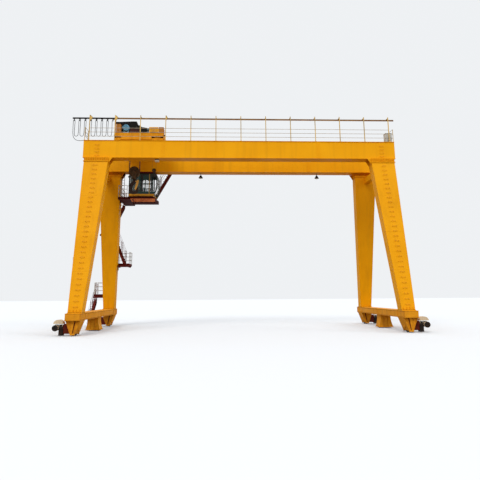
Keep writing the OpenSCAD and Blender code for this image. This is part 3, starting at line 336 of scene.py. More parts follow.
crane_yellow = paint("crane_yellow", (236, 166, 4), (224, 150, 2), (158, 102, 14), streaks=0.22)
repaint(crane_yellow, "near_girder", "far_girder", "tie_beams")
far_low, far_high = extent("far_girder")
girder_y, girder_top, girder_bottom = (far_low.y + far_high.y) / 2, far_high.z, far_low.z
web_inset, splice_x, cover, splice_bolt = 0.05, 6.48, 0.012, 0.016
seam_pitch, seam_width, seam_height = 2.16, 0.014, 0.004
mesh, seams = bmesh.new(), bmesh.new()
for girder in (-1, 1):
    for side in (-1, 1):
        web = girder * girder_y + side * ((far_high.y - far_low.y) / 2 - web_inset)
        for x in (sign * splice_x + column for sign in (-1, 1) for column in (-0.11, -0.05, 0.05, 0.11)):
            heights = [girder_bottom + 0.14 + i * 0.0945 for i in range(14)]
            bolts(mesh, [(x, web + side * cover, z) for z in heights], (0, side, 0), splice_bolt)
        for x in (i * seam_pitch for i in range(-5, 6)):
            block(seams, (x - seam_width / 2, web - seam_height, girder_bottom + 0.03),
                  (x + seam_width / 2, web + seam_height, girder_top - 0.03))
        for z in (girder_bottom + 0.036, girder_top - 0.036):
            rod(seams, (far_low.x + 0.01, web, z), (far_high.x - 0.01, web, z), 0.009, 6)
piece("splice_bolts", mesh, crane_yellow)
piece("girder_welds", seams, crane_yellow)

# Trolley rails. Rolled steel rails on the girders' top plates, polished on the head by the
# trolley's wheels and held down by pairs of bolted clips.
steel = Finish("rail_steel")
head = steel.axis("Z").clipped(girder_top + 0.1, girder_top + 0.106)
rust = steel.mix(steel.noise(5, 5).clipped(0.3, 0.7), (92, 58, 40), (66, 44, 34))
steel.bump(steel.noise(50), 0.002)
polished = steel.mix(head, rust, (150, 146, 140))
repaint(steel.shade(polished, head * -0.4 + 0.7, Metallic=head * 0.8), "trolley_rails")
rail_low, rail_high = extent("trolley_rails")
clip_pitch, foot_half = 0.75, 0.055
mesh = bmesh.new()
for y in (-girder_y, girder_y):
    for x in (rail_low.x + 0.6 + i * clip_pitch for i in range(32)):
        for side in (-1, 1):
            block(mesh, (x - 0.035, y + side * (foot_half - 0.012), girder_top),
                  (x + 0.035, y + side * (foot_half + 0.055), girder_top + 0.03))
            bolts(mesh, [(x, y + side * (foot_half + 0.028), girder_top + 0.03)], (0, 0, 1), 0.014)
clip_steel = paint("clip_steel", (96, 84, 72), (84, 64, 48), (90, 54, 30), 0.6)
piece("rail_clips", mesh, clip_steel)

# Legs. Tapered boxes welded from plate, with a plate at each end that is bolted to the
# girder's head and to the ground beam, and stiffening ribs around both joints.
leg_yellow = paint("leg_yellow", (228, 158, 4), (214, 142, 2), (150, 96, 14), streaks=0.22)
repaint(leg_yellow, "near_left_leg", "near_right_leg", "far_left_leg", "far_right_leg")
leg_top, leg_foot = Vector((11.87, 2.435, 13.52)), Vector((12.04, 5.03, 1.6))
leg_top_width, leg_foot_width, leg_thick, end_plate, rib = 1.94, 0.99, 0.8, 0.04, 0.012


def leg_place(z):
    """The middle and the half width of the leg at the far right, at a height."""
    share = (z - leg_foot.z) / (leg_top.z - leg_foot.z)
    return leg_foot.lerp(leg_top, share), (leg_foot_width + (leg_top_width - leg_foot_width) * share) / 2


def at_corner(mesh, side_x, side_y, start=(0, 0, 0)):
    """Moves a mesh drawn about start at the far right to one of the four corners."""
    bmesh.ops.translate(mesh, vec=start, verts=mesh.verts)
    bmesh.ops.transform(mesh, matrix=Matrix.Diagonal((side_x, side_y, 1, 1)), verts=mesh.verts)


def plate(mesh, outline, depth):
    """A flat outline drawn out along depth."""
    face = mesh.faces.new([mesh.verts.new(point) for point in outline])
    grown = bmesh.ops.extrude_face_region(mesh, geom=[face])["geom"]
    bmesh.ops.translate(mesh, vec=depth, verts=[v for v in grown if isinstance(v, bmesh.types.BMVert)])


corners = [(x, y, f"{'near' if y < 0 else 'far'}_{'left' if x < 0 else 'right'}")
           for y in (-1, 1) for x in (-1, 1)]
for side_x, side_y, corner in corners:
    mesh = bmesh.new()
    for out in (-1, 1):
        face = leg_top.y + out * leg_thick / 2
        for i in range(14):
            x = leg_top.x - leg_top_width / 2 + 0.03 + i * (leg_top_width - 0.06) / 13
            block(mesh, (x - rib, face, leg_top.z + 2 * end_plate),
                  (x + rib, face + out * 0.075, girder_bottom - 0.001))
            bolts(mesh, [(x + 0.07, face + out * 0.028, leg_top.z)], (0, 0, -1), 0.013)
        x = leg_top.x + out * (leg_top_width / 2 + 0.028)
        spots = [(x, leg_top.y - leg_thick / 2 + 0.1 + i * 0.2, leg_top.z) for i in range(4)]
        bolts(mesh, spots, (0, 0, -1), 0.013)
        face = leg_foot.y + out * leg_thick / 2
        gusset = ((-0.005, 0), (0.085, 0), (0.012, 0.22), (-0.06, 0.22))
        for x in (leg_foot.x - 0.36 + i * 0.24 for i in range(4)):
            plate(mesh, [(x - rib / 2, face + out * y, leg_foot.z + z) for y, z in gusset], (rib, 0, 0))
            bolts(mesh, [(x + 0.12, face + out * 0.055, leg_foot.z)], (0, 0, 1), 0.015)
    for z in (4.55, 7.55, 10.55):
        spot, half = leg_place(z)
        reach = Vector((half + 0.003, leg_thick / 2 + 0.003, 0))
        block(mesh, spot - reach, spot + reach + Vector((0, 0, rib)))
    for step, side in ((-1, -1), (-1, 1), (1, -1), (1, 1)):
        ends = []
        for z in (leg_foot.z + 0.002, leg_top.z - 0.002):
            spot, half = leg_place(z)
            ends.append(spot + Vector((step * (half - 0.004), side * (leg_thick / 2 - 0.004), 0)))
        rod(mesh, *ends, 0.011, 6)
    at_corner(mesh, side_x, side_y)
    piece(f"{corner}_leg_ribs", mesh, leg_yellow)

# Climbing rungs. Bent round bars welded in pairs of ends to the near legs, with the paint
# worn in spots.
repaint(mottled("rung_paint", (224, 154, 10), (176, 122, 40), (14, 4), 0.45, 0.62, (80,), 0.001, 0.55,
                Specular_IOR_Level=0.2), "climbing_rungs")


# Ground beams. Box beams with wide flanges, stiffened by upright ribs between the flanges,
# and closed at both ends; they lie on the wheel boxes and on the pedestals.
def seam(mesh, x, y, half_x, half_y, z, radius):
    """A weld round a rectangle."""
    ring = [(x + a * half_x, y + b * half_y, z) for a, b in ((-1, -1), (1, -1), (1, 1), (-1, 1), (-1, -1))]
    for start, end in zip(ring, ring[1:]):
        rod(mesh, start, end, radius, 6)


beam_yellow = paint("beam_yellow", (222, 150, 26), (206, 132, 26), (146, 94, 40), 0.5, 0.4)
repaint(beam_yellow, "left_ground_beam", "right_ground_beam", "wheel_boxes", "anchor_pedestals")
beam_low, beam_high = extent("right_ground_beam")
beam_x, beam_half = (beam_low.x + beam_high.x) / 2, (beam_high.x - beam_low.x) / 2
flange, inset = 0.035, 0.03
# Rust-brown weld lines along the flange edges and round each leg's foot: rusted welds, and painted shade of the
# shadowed gaps at the flange edges.
rust_and_shade = paint("rust_and_shade_seams", (104, 48, 16), (78, 34, 14), (60, 30, 16), 0.7, 0.4, 0.2)
for x, name in ((-beam_x, "left"), (beam_x, "right")):
    mesh, seams = bmesh.new(), bmesh.new()
    for y in (-5.72, -4.5, 0, 4.5, 5.72):
        for side in (-1, 1):
            block(mesh, (x + side * (beam_half - inset), y - 0.006, beam_low.z + flange),
                  (x + side * (beam_half - 0.004), y + 0.006, beam_high.z - flange))
    for side in (-1, 1):
        y = side * (beam_high.y - 0.012)
        block(mesh, (x - beam_half + 0.02, y - 0.008, beam_low.z + 0.034),
              (x + beam_half - 0.02, y + 0.008, beam_high.z - 0.034))
        spots = [(x + end * (beam_half - 0.09), y + side * 0.008, z)
                 for end in (-1, 1) for z in (beam_low.z + 0.1, beam_high.z - 0.1)]
        bolts(mesh, spots, (0, side, 0), 0.013)
        seam(seams, x, side * leg_foot.y, leg_foot_width / 2 + 0.004, leg_thick / 2 + 0.004,
             leg_foot.z + 0.008, 0.013)
    # Painted shade: these rust-brown rods also darken the recessed corners under both flanges, besides standing for
    # the welds there.
    for z in (beam_low.z + flange + 0.004, beam_high.z - flange - 0.004):
        seam(seams, x, 0, beam_half - inset, beam_high.y - 0.014, z, 0.014)
    piece(f"{name}_beam_ribs", mesh, beam_yellow)
    piece(f"{name}_beam_seams_and_shade", seams, rust_and_shade)


# Wheel boxes. V-shaped boxes of thick plate that carry one wheel each between two cheeks.
# Flanges along the sloping edges, bearing covers on the axle and a rail guard at each end.
def panel(mesh, outline, y, depth):
    """An outline of x and z pairs at y, drawn out along y."""
    plate(mesh, [(x, y, z) for x, z in outline], (0, depth, 0))


def circle(spot, radius, count, axis="Y", first=0):
    """Places spaced evenly round a spot, in the plane across an axis."""
    turns = [(radius * math.cos(a), radius * math.sin(a))
             for a in (math.radians(first + 360 * k / count) for k in range(count))]
    return [Vector(spot) + Vector((0, a, b) if axis == "X" else (a, 0, b)) for a, b in turns]


box_top, box_foot, box_half, box_top_half, box_foot_half = 1.06, 0.15, 0.53, 0.52, 0.17
flange_out, flange_thick, wheel_y, axle_z = 0.045, 0.022, 5.1, 0.425
for side_x, side_y, corner in corners:
    mesh, seams = bmesh.new(), bmesh.new()
    for end in (-1, 1):
        face = wheel_y + end * box_half
        for side in (-1, 1):
            foot = Vector((beam_x + side * box_foot_half, face - end * 0.002, box_foot + 0.01))
            top = Vector((beam_x + side * (box_top_half - 0.01), face - end * 0.002, box_top - 0.012))
            inward = Vector((-side * flange_thick, 0, 0))
            plate(mesh, [foot, top, top + inward, foot + inward], (0, end * flange_out, 0))
            foot += Vector((-side * 0.07, 0, 0.02))
            top += Vector((-side * 0.27, 0, -0.02))
            plate(mesh, [foot, top, top + inward, foot + inward], (0, end * flange_out * 0.8, 0))
        block(mesh, (beam_x - box_top_half, face, box_top - 0.03),
              (beam_x + box_top_half, face + end * flange_out, box_top - 0.005))
        block(mesh, (beam_x - box_foot_half, face - end * 0.01, box_foot - 0.075),
              (beam_x + box_foot_half, face + end * 0.035, box_foot + 0.03))
        foot, top = box_foot + 0.03, box_top - 0.05
        # Painted shade: a rust-brown strip on the inner half of each end face stands for the shaded recess between
        # the flanges.
        painted_shade_stripe = [(beam_x + x, z) for x, z in ((-0.03, foot), (-0.19, top), (-0.09, top), (0.03, foot))]
        panel(seams, painted_shade_stripe, face - end * 0.001, end * 0.01)
        # A rust-brown weld under the top flange: a rusted weld, and painted shade under the flange's lip.
        weld = [(beam_x + side * box_top_half, face + end * 0.002, box_top - 0.036) for side in (-1, 1)]
        rod(seams, *weld, 0.013, 6)
    x = beam_x - 0.275
    rod(mesh, (x + 0.04, wheel_y, axle_z), (x - 0.035, wheel_y, axle_z), 0.135, 32)
    rod(mesh, (x - 0.03, wheel_y, axle_z), (x - 0.06, wheel_y, axle_z), 0.085, 24)
    bolts(mesh, circle((x - 0.035, wheel_y, axle_z), 0.11, 6, "X"), (-1, 0, 0), 0.012)
    for made in (mesh, seams):
        at_corner(made, side_x, side_y)
    piece(f"{corner}_box_plates", mesh, beam_yellow)
    piece(f"{corner}_box_welds_and_shade", seams, rust_and_shade)

# Wheels. Cast steel wheels with two flanges, dull and oily in spots; each turns on an axle
# that runs into its gearbox.
cast_steel = mottled("wheel_steel", (82, 74, 68), (46, 36, 30), (7, 5), 0.35, 0.65, (40, 4), 0.003,
                     0.45, 0.3, Metallic=0.4)
repaint(cast_steel, "near_left_wheel", "near_right_wheel", "far_left_wheel", "far_right_wheel",
        "trolley_wheels")
for side_x, side_y, corner in corners:
    mesh = bmesh.new()
    bolts(mesh, circle((beam_x - 0.06, wheel_y, axle_z), 0.215, 8, "X"), (-1, 0, 0), 0.012)
    at_corner(mesh, side_x, side_y)
    piece(f"{corner}_wheel_bolts", mesh, cast_steel, f"{corner}_wheel_body")


# Travel drives. A cast gearbox painted dark red hangs on each axle, with a finned motor
# whose fan end faces out and a pale ring; a humped sheet keeps the rain off.
def lathe(mesh, outline, start, along, sides=32):
    """An outline of radius and distance pairs, turned about an axis from start towards along."""
    turned = Vector(along).to_track_quat("Z", "Y").to_matrix().to_4x4()
    before = set(mesh.verts)
    verts = [mesh.verts.new((radius, 0, distance)) for radius, distance in outline]
    edges = [mesh.edges.new(pair) for pair in zip(verts, verts[1:])]
    bmesh.ops.spin(mesh, geom=verts + edges, cent=(0, 0, 0), axis=(0, 0, 1), angle=2 * math.pi,
                   steps=sides, use_merge=True)
    round_verts = [vert for vert in mesh.verts if vert not in before]
    bmesh.ops.transform(mesh, matrix=Matrix.Translation(Vector(start)) @ turned, verts=round_verts)
    bmesh.ops.remove_doubles(mesh, verts=round_verts, dist=1e-5)


def rounded(made, width, segments=2):
    """Rounds the piece's sharp edges."""
    edge = made.modifiers.new("rounded_edges", "BEVEL")
    edge.width, edge.segments, edge.limit_method, edge.angle_limit = width, segments, "ANGLE", math.radians(40)


def arc(x, z, radius, rise, first, last, steps):
    """Pairs of x and z along part of an ellipse, between two angles in degrees."""
    angles = [math.radians(first + (last - first) * k / steps) for k in range(steps + 1)]
    return [(x + radius * math.cos(a), z + rise * math.sin(a)) for a in angles]


def strip(mesh, line, y, depth, across, rise):
    """A flat bar along a line of x and z pairs, across and rise wide and depth deep."""
    for (xa, za), (xb, zb) in zip(line, line[1:]):
        panel(mesh, [(xa, za), (xb, zb), (xb + across, zb + rise), (xa + across, za + rise)], y, depth)


def fins(mesh, spot, axis, count, low, high):
    """Cooling fins about an axis through spot; the first goes from low to high."""
    for k in range(count):
        turn = Matrix.Translation(spot) @ Matrix.Rotation(2 * math.pi * k / count, 4, axis)
        bmesh.ops.transform(mesh, matrix=turn, verts=block(mesh, low, high))


def hoops(mesh, spot, radii, count, thick):
    """Rings of wire round a spot, as in a fan's grille."""
    for ring in (circle(spot, radius, count) for radius in radii):
        tube(mesh, ring + ring[:1], thick, 6)


gearbox_red = paint("gearbox_red", (92, 26, 20), (74, 20, 16), (60, 34, 26), 0.4, 0.4, 0.2)
motor_black = paint("motor_black", (22, 32, 34), (16, 24, 26), (54, 48, 42), 0.45, 0.3)
pale_cover = paint("pale_cover", (222, 206, 176), (206, 182, 146), (160, 124, 88), 0.5, 0.5)
motor_start, length = Vector((1.255, -0.18, axle_z + 0.13)), 0.66
body_radius, fin_radius, fan_radius, fin_count = 0.158, 0.178, 0.21, 26
case_near, case_far, case_low, case_high, case_half, case_joint = 0.172, 0.78, 0.15, 0.86, 0.2, 0.51
motor_shape = [(0, 0), (body_radius - 0.02, 0), (body_radius + 0.012, 0.02), (body_radius + 0.012, 0.06),
               (body_radius, 0.07), (body_radius, length - 0.2), (0, length - 0.2)]
fan_shape = [(0, length - 0.09), (0.055, length - 0.008), (fan_radius - 0.015, length - 0.002),
             (fan_radius, length - 0.02), (fan_radius, length - 0.095), (0, length - 0.095)]
ring_shape = [(0.1, length - 0.215), (fan_radius - 0.01, length - 0.21), (fan_radius + 0.006, length - 0.19),
              (fan_radius + 0.006, length - 0.095), (fan_radius - 0.01, length - 0.09), (0.1, length - 0.09)]
hump = arc(1.12, 0.835, 0.34, 0.28, 0, 180, 12)
for side_x, side_y, corner in corners:
    case, heads, motor, sheet = (bmesh.new() for _ in range(4))
    block(case, (0.3, -case_half + 0.02, case_low), (case_far - 0.03, case_half - 0.02, case_high - 0.03))
    block(case, (case_near, -0.15, case_low + 0.02), (0.31, 0.15, 0.6))
    block(case, (0.28, -case_half, case_joint - 0.035), (case_far - 0.01, case_half, case_joint))
    rod(case, (case_far - 0.06, 0, motor_start.z), (case_far + 0.02, 0, motor_start.z), 0.175, 32)
    for x in (0.34 + i * 0.075 for i in range(5)):
        block(case, (x - 0.008, -case_half + 0.003, case_joint), (x + 0.008, case_half - 0.003, 0.76))
    rod(case, (0.42, 0, case_high - 0.04), (0.42, 0, case_high), 0.035)
    bolts(heads, [(0.31 + i * 0.068, y, case_joint) for i in range(6) for y in (-0.18, 0.18)], (0, 0, 1), 0.011)
    bolts(heads, circle((case_far + 0.02, 0, motor_start.z), 0.155, 8, "X"), (1, 0, 0), 0.011)
    block(motor, (case_far + 0.005, -0.18, 0.04), (1.08, 0.18, 0.56))
    rod(motor, (case_far + 0.004, 0, motor_start.z), (1.09, 0, motor_start.z), 0.225, 32)
    lathe(motor, motor_shape, motor_start, (0, 1, 0))
    fins(motor, motor_start, "Y", fin_count, (-0.004, 0.07, body_radius - 0.01),
         (0.004, length - 0.22, fin_radius))
    block(motor, motor_start + Vector((-0.1, 0.16, 0.13)), motor_start + Vector((0.1, 0.34, 0.235)))
    lathe(motor, fan_shape, motor_start, (0, 1, 0))
    hoops(motor, motor_start + Vector((0, length - 0.001, 0)), (0.07, 0.1, 0.13, 0.16, 0.19), 24, 0.004)
    lathe(sheet, ring_shape, motor_start, (0, 1, 0))
    strip(sheet, hump, -0.24, 0.48, 0, 0.01)
    for side in (-1, 1):
        panel(sheet, [(x, z + 0.006) for x, z in hump], side * 0.237, side * 0.006)
        for x in (0.82, 1.05):
            block(sheet, (x - 0.015, side * 0.19 - 0.006, 0.5), (x + 0.015, side * 0.19 + 0.006, 0.85))
    for made in (case, heads, motor, sheet):
        at_corner(made, side_x, side_y, (beam_x, wheel_y, 0))
    rounded(piece(f"{corner}_gearbox", case, gearbox_red, hides=["travel_drives"],
                  smooth=40), 0.012)
    piece(f"{corner}_gearbox_bolts", heads, gearbox_red)
    piece(f"{corner}_drive_motor", motor, motor_black, hides=["travel_drives"], smooth=35)
    piece(f"{corner}_drive_cover", sheet, pale_cover, hides=["travel_drives"], smooth=35)

# Anchor pedestals. Flared plate boxes under the middle of the beams, edged with flat bar,
# on a foot plate with anchor nuts.
pedestal_low, pedestal_high = extent("anchor_pedestals")
half_top, half_foot, half_length = 0.4, 0.56, 0.45
top, foot, shoe = pedestal_high.z, pedestal_low.z + 0.08, pedestal_low.z + 0.034
for x0, name in ((-beam_x, "left"), (beam_x, "right")):
    mesh = bmesh.new()
    for end in (-1, 1):
        y = end * half_length
        for side in (-1, 1):
            shares = [k / 8 for k in range(9)]
            edge = [(x0 + side * (half_top + (half_foot - half_top) * share ** 2.2 + 0.004),
                     top + (foot - top) * share) for share in shares]
            strip(mesh, edge, y, end * 0.016, -side * 0.05, 0)
        for x in (x0 - 0.18, x0 + 0.18):
            block(mesh, (x - 0.008, y, foot), (x + 0.008, y + end * 0.045, top - 0.12))
        block(mesh, (x0 - 0.6, y - end * 0.02, shoe - 0.032), (x0 + 0.6, y + end * 0.075, shoe))
        bolts(mesh, [(x0 + x, y + end * 0.045, shoe) for x in (-0.5, -0.18, 0.18, 0.5)], (0, 0, 1), 0.022)
    piece(f"{name}_pedestal_edges", mesh, beam_yellow)

# Railings. Tall square posts on the near girder and low ones on the far girder, painted
# yellow and faded to olive, with three pale galvanised tubes behind them.
post_y, post_pitch, post_count, post_half = 2.67, 2.1, 13, 0.03
posts = [(i - (post_count - 1) / 2) * post_pitch for i in range(post_count)]
olive = Finish("railing_paint")
y, z = olive.axis("Y"), olive.axis("Z")
tubes = (y > 0.0005 + post_half - post_y) * (y < post_y - post_half - 0.0005) * (z < girder_top + 1.15)
faded = olive.mix(olive.noise(2.5, 4, (1, 1, 0.4)).clipped(0.35, 0.65), (214, 176, 92), (164, 140, 86))
zinc = olive.mix(olive.noise(6, 4).clipped(0.35, 0.7), (186, 184, 178), (142, 134, 122))
olive.bump(olive.noise(90), 0.001)
post_paint = olive.shade(olive.mix(tubes, faded, zinc), 0.5, Specular_IOR_Level=0.3)
repaint(post_paint, "near_railing", "far_railing")
mesh = bmesh.new()
for side, lip in ((-1, 0.062), (1, 0.048)):
    y, inner = side * post_y, side * (post_y - post_half)
    for x in posts:
        block(mesh, (x - 0.075, y - 0.048, girder_top), (x + 0.075, y + lip, girder_top + 0.012))
        bolts(mesh, [(x + a, y, girder_top + 0.012) for a in (-0.053, 0.053)], (0, 0, 1), 0.011)
        for z in (girder_top + 1.083, girder_top + 0.723, girder_top + 0.363):
            block(mesh, (x - 0.022, inner, z - 0.021), (x + 0.022, inner - side * 0.04, z + 0.021))
piece("post_feet", mesh, post_paint)
mesh, edges = bmesh.new(), bmesh.new()
for i, reach in ((0, 0.21), (1, 0.21), (3, 0.12)):
    gusset = ((0, 2.19), (reach, 1.98), (0, 1.98 - reach * 1.5))
    outline = [(posts[i] + post_half + x, girder_top + z) for x, z in gusset]
    panel(mesh, outline, -post_y - 0.006, 0.012)
    tube(edges, [(x, -post_y, z) for x, z in outline], 0.016, 8)
piece("post_gussets", mesh, post_paint)
stained = paint("stained_edges", (104, 90, 60), (82, 68, 46), (64, 48, 34), 0.5, 0.3)
piece("gusset_edges", edges, stained)

# Cabinets. A grey sheet steel switch cabinet on the girder's right end and two junction
# boxes on the legs, each with a door, hinges, a handle and a drip edge.
cabinet_grey = mottled("cabinet_grey", (190, 190, 184), (132, 122, 108), (3, 5, (2, 2, 0.25)), 0.45, 0.75,
                       (70, 2), 0.0008, 0.5, 0.2, Specular_IOR_Level=0.3)
repaint(cabinet_grey, "junction_boxes")
low = Vector((rail_high.x + 0.02, -2.6, girder_top))
high = low + Vector((0.54, 0.46, 0.78))
mesh = bmesh.new()
block(mesh, low + Vector((0.03, -0.018, 0.05)), (high.x - 0.03, low.y + 0.001, high.z - 0.05))
block(mesh, (low.x - 0.025, low.y - 0.04, high.z - 0.002), high + Vector((0.015, 0.025, 0.022)))
for z in (0.14, 0.6):
    rod(mesh, low + Vector((0.024, -0.016, z)), low + Vector((0.024, -0.016, z + 0.07)), 0.011, 10)
block(mesh, (high.x - 0.085, low.y - 0.036, low.z + 0.34), (high.x - 0.06, low.y - 0.017, low.z + 0.48))
for z in (low.z + 0.1 + i * 0.024 for i in range(5)):
    block(mesh, (low.x + 0.12, low.y - 0.024, z), (high.x - 0.14, low.y - 0.017, z + 0.012))
for side, z in ((1, 2.2), (-1, 5.5)):
    spot, half = leg_place(z + 0.12)
    face, y = side * (spot.x + half + 0.12), -leg_place(z)[0].y
    block(mesh, (face - side * 0.001, y - 0.085, z - 0.105), (face + side * 0.012, y + 0.085, z + 0.105))
    block(mesh, (face - side * 0.13, y - 0.11, z + 0.118), (face + side * 0.02, y + 0.11, z + 0.128))
    rod(mesh, (face - side * 0.05, y, z - 0.12), (face - side * 0.05, y, z - 0.16), 0.016, 12)
rounded(piece("cabinet_doors", mesh, cabinet_grey), 0.003, 1)

# Cable track. A rolled steel joist hung from the posts' arms with bolted clips and joined
# with plates; it is black at the left, where the carriers wait, and bare and rusty beyond.
joist = Finish("track_paint")
rust = joist.mix(joist.noise(2, 5, (0.6, 1, 1)).clipped(0.3, 0.7), (168, 132, 78), (128, 88, 52))
joist.bump(joist.noise(60, 4), 0.001)
joist_colour = joist.mix(joist.axis("X").clipped(-10.6, -10.2), (30, 28, 27), rust)
track_paint = joist.shade(joist_colour, 0.6, Specular_IOR_Level=0.25)
repaint(track_paint, "cable_track")
track_low, track_high = extent("cable_track")
track_top, track_foot, track_half = track_high.z, track_high.z - 0.11, 0.04
mesh = bmesh.new()
for x in posts:
    for clip in (x - 0.034, x + 0.034):
        block(mesh, (clip - 0.004, cable_y - track_half - 0.012, track_top - 0.014),
              (clip + 0.004, cable_y + track_half, track_top + 0.052))
    bolts(mesh, [(x + a, cable_y, track_top + 0.05) for a in (-0.019, 0.019)], (0, 0, 1), 0.01)
for x in (-7.9, -1.9, 4.1, 10.1):
    for side in (-1, 1):
        block(mesh, (x - 0.11, cable_y + side * 0.004, track_top - 0.052),
              (x + 0.11, cable_y + side * 0.012, track_top - 0.01))
        spots = [(x + a, cable_y + side * 0.012, track_top - 0.03) for a in (-0.07, 0.07)]
        bolts(mesh, spots, (0, side, 0), 0.007)
for x in (track_low.x + 0.03, track_high.x - 0.03):
    block(mesh, (x - 0.006, cable_y - track_half, track_foot), (x + 0.006, cable_y + track_half, track_top))
piece("track_clips", mesh, track_paint)

# Carriers. Small black trolleys of folded plate; each rolls on four steel rollers and holds
# the cable on a saddle with a bolted strap.
carrier_black = paint("carrier_black", (28, 27, 26), (40, 37, 34), (70, 52, 38), 0.5, 0.4, 0.2, 90)
repaint(carrier_black, *[f"carrier_{i}" for i in range(1, carrier_count + 1)])
strap_radius, strap_z = 0.0235, saddle_z + saddle_radius
for i, body in enumerate(carrier_bodies):
    x = clamp_x + i * carrier_gap
    mesh = bmesh.new()
    strap = [(x, y, z) for y, z in arc(cable_y, strap_z, strap_radius, strap_radius, 0, 180, 6)]
    for first, second in zip(strap, strap[1:]):
        rod(mesh, first, second, 0.003, 6)
    for side in (-1, 1):
        if i:
            rollers = [(x + a, cable_y + side * 0.062, track_foot + 0.0305) for a in (-0.04, 0.04)]
            bolts(mesh, rollers, (0, side, 0), 0.011)
        bolts(mesh, [(x, cable_y + side * 0.03, saddle_z + 0.022)], (0, side, 0), 0.009)
        y = cable_y + side * strap_radius
        block(mesh, (x - 0.014, y - 0.003, saddle_z + 0.04), (x + 0.014, y + 0.003, saddle_z + 0.072))
    piece(f"carrier_bolts_{i}", mesh, carrier_black, body)


# Trolley frame. Two welded side beams over the wheels, joined by cross beams and bearers,
# with bearing plates on both sides of each wheel and rubber buffers at the ends.
def mirrored(x0, half):
    """A whole outline about x0 from the x and z pairs of its right half."""
    return [(x0 + x, z) for x, z in half] + [(x0 - x, z) for x, z in reversed(half)]


trolley_yellow = paint("trolley_yellow", (222, 150, 20), (206, 134, 20), (140, 84, 26), 0.5, 0.5, 0.2)
repaint(trolley_yellow, "trolley_frame")
trolley_low, trolley_high = extent("trolley_frame")
side_middle, side_half, side_top, side_foot = 2.2, 0.21, trolley_high.z, trolley_high.z - 0.3
rail_top = extent("trolley_wheels")[0].z
hub_z, deck = rail_top + 0.2, side_top + 0.0003
buffer_shape = [(0, 0), (0.085, 0), (0.085, 0.012), (0.055, 0.014), (0.06, 0.075), (0.048, 0.098), (0, 0.1)]
mesh, buffers = bmesh.new(), bmesh.new()
for y in (-side_middle, side_middle):
    for z in (side_foot, side_top - 0.016):
        block(mesh, (trolley_low.x + 0.004, y - side_half - 0.018, z),
              (trolley_high.x - 0.004, y + side_half + 0.018, z + 0.016))
    for x in (trolley_low.x + 0.33, trolley_high.x - 0.52):
        for face in (-1, 1):
            bearing = mirrored(x, [(0.17, rail_top + 0.1), (0.27, side_foot + 0.01)])
            panel(mesh, bearing, y + face * 0.075, face * 0.025)
        rod(mesh, (x, y - 0.125, hub_z), (x, y + 0.125, hub_z), 0.075, 24)
        bolts(mesh, circle((x, y - 0.125, hub_z), 0.055, 6), (0, -1, 0), 0.008)
    for x in (trolley_low.x + 0.25 + i * 0.445 for i in range(9)):
        for face in (-1, 1):
            block(mesh, (x - 0.006, y + face * (side_half - 0.002), side_foot + 0.016),
                  (x + 0.006, y + face * (side_half + 0.016), side_top - 0.016))
    for x, out, skirt in ((trolley_low.x, -1, 0.54), (trolley_high.x, 1, -0.98)):
        block(mesh, (x - 0.012, y - 0.14, rail_top + 0.03), (x + 0.012, y + 0.14, side_foot + 0.004))
        for face in (-1, 1):
            near, far = y + face * (side_half - 0.03), y + face * (side_half - 0.016)
            block(mesh, (x, near, rail_top + 0.02), (x + skirt, far, rail_top + 0.19))
            block(mesh, (x - 0.02, near, rail_top + 0.02), (x + 0.02, far, side_foot + 0.004))
        lathe(buffers, buffer_shape, (x, y, (side_top + side_foot) / 2), (out, 0, 0), 24)
piece("trolley_plates", mesh, trolley_yellow, "trolley")
piece("trolley_buffers", buffers, black_rubber, "trolley", smooth=40)

# Main winch. A drum grooved for the rope, between two bearing stands, driven by a pale
# blue finned motor with a round fan cover and a dark red gearbox.
wire = Finish("rope")
strands = wire.node("ShaderNodeTexWave", {"wave_type": "BANDS", "bands_direction": "DIAGONAL"},
                    Vector=wire.coordinates, Scale=9, Distortion=0.5)
wire.bump(strands, 0.002)
grease = wire.mix(wire.noise(3, 4).clipped(0.35, 0.7), (112, 66, 48), (58, 40, 34))
rope_steel = wire.shade(grease, 0.5, Metallic=0.3)
blue_paint = paint("blue_paint", (126, 186, 216), (104, 164, 198), (74, 104, 118), 0.4, 0.4)
dark_blue = paint("dark_blue", (54, 104, 128), (44, 84, 104), (40, 60, 70), 0.4, 0.3)
drum_x, drum_z, drum_radius, drum_half, turns = -9.26, 16.72, 0.43, 1.1, 40
shaft_half, stand_y, rope_radius = 1.4, 1.36, 0.012
flange_shape = [(0, drum_half), (drum_radius + 0.045, drum_half), (drum_radius + 0.045, drum_half - 0.03),
                (drum_radius - 0.03, drum_half - 0.032)]
grooves = []
for i in range(turns):
    y = -drum_half + 0.06 + i * (2 * drum_half - 0.12) / turns
    grooves += [(drum_radius - 0.018, y), (drum_radius - 0.002, y + 0.014), (drum_radius - 0.002, y + 0.034)]
mesh = bmesh.new()
lathe(mesh, [(radius, -y) for radius, y in flange_shape] + grooves + flange_shape[::-1],
      (drum_x, 0, drum_z), (0, 1, 0), 40)
piece("main_drum", mesh, rope_steel, "trolley", ["main_winch"], 30)
mesh = bmesh.new()
rod(mesh, (drum_x, -shaft_half, drum_z), (drum_x, shaft_half, drum_z), 0.065, 24)
stand = [(0.15, deck), (0.15, side_top + 0.05), (0.1, drum_z + 0.04), (0.06, drum_z + 0.11)]
for y in (-stand_y, stand_y):
    panel(mesh, mirrored(drum_x, stand), y - 0.045, 0.09)
    rod(mesh, (drum_x, y - 0.062, drum_z), (drum_x, y + 0.062, drum_z), 0.105, 32)
rounded(piece("drum_stands", mesh, gearbox_red, "trolley", ["main_winch"], 40), 0.004, 1)

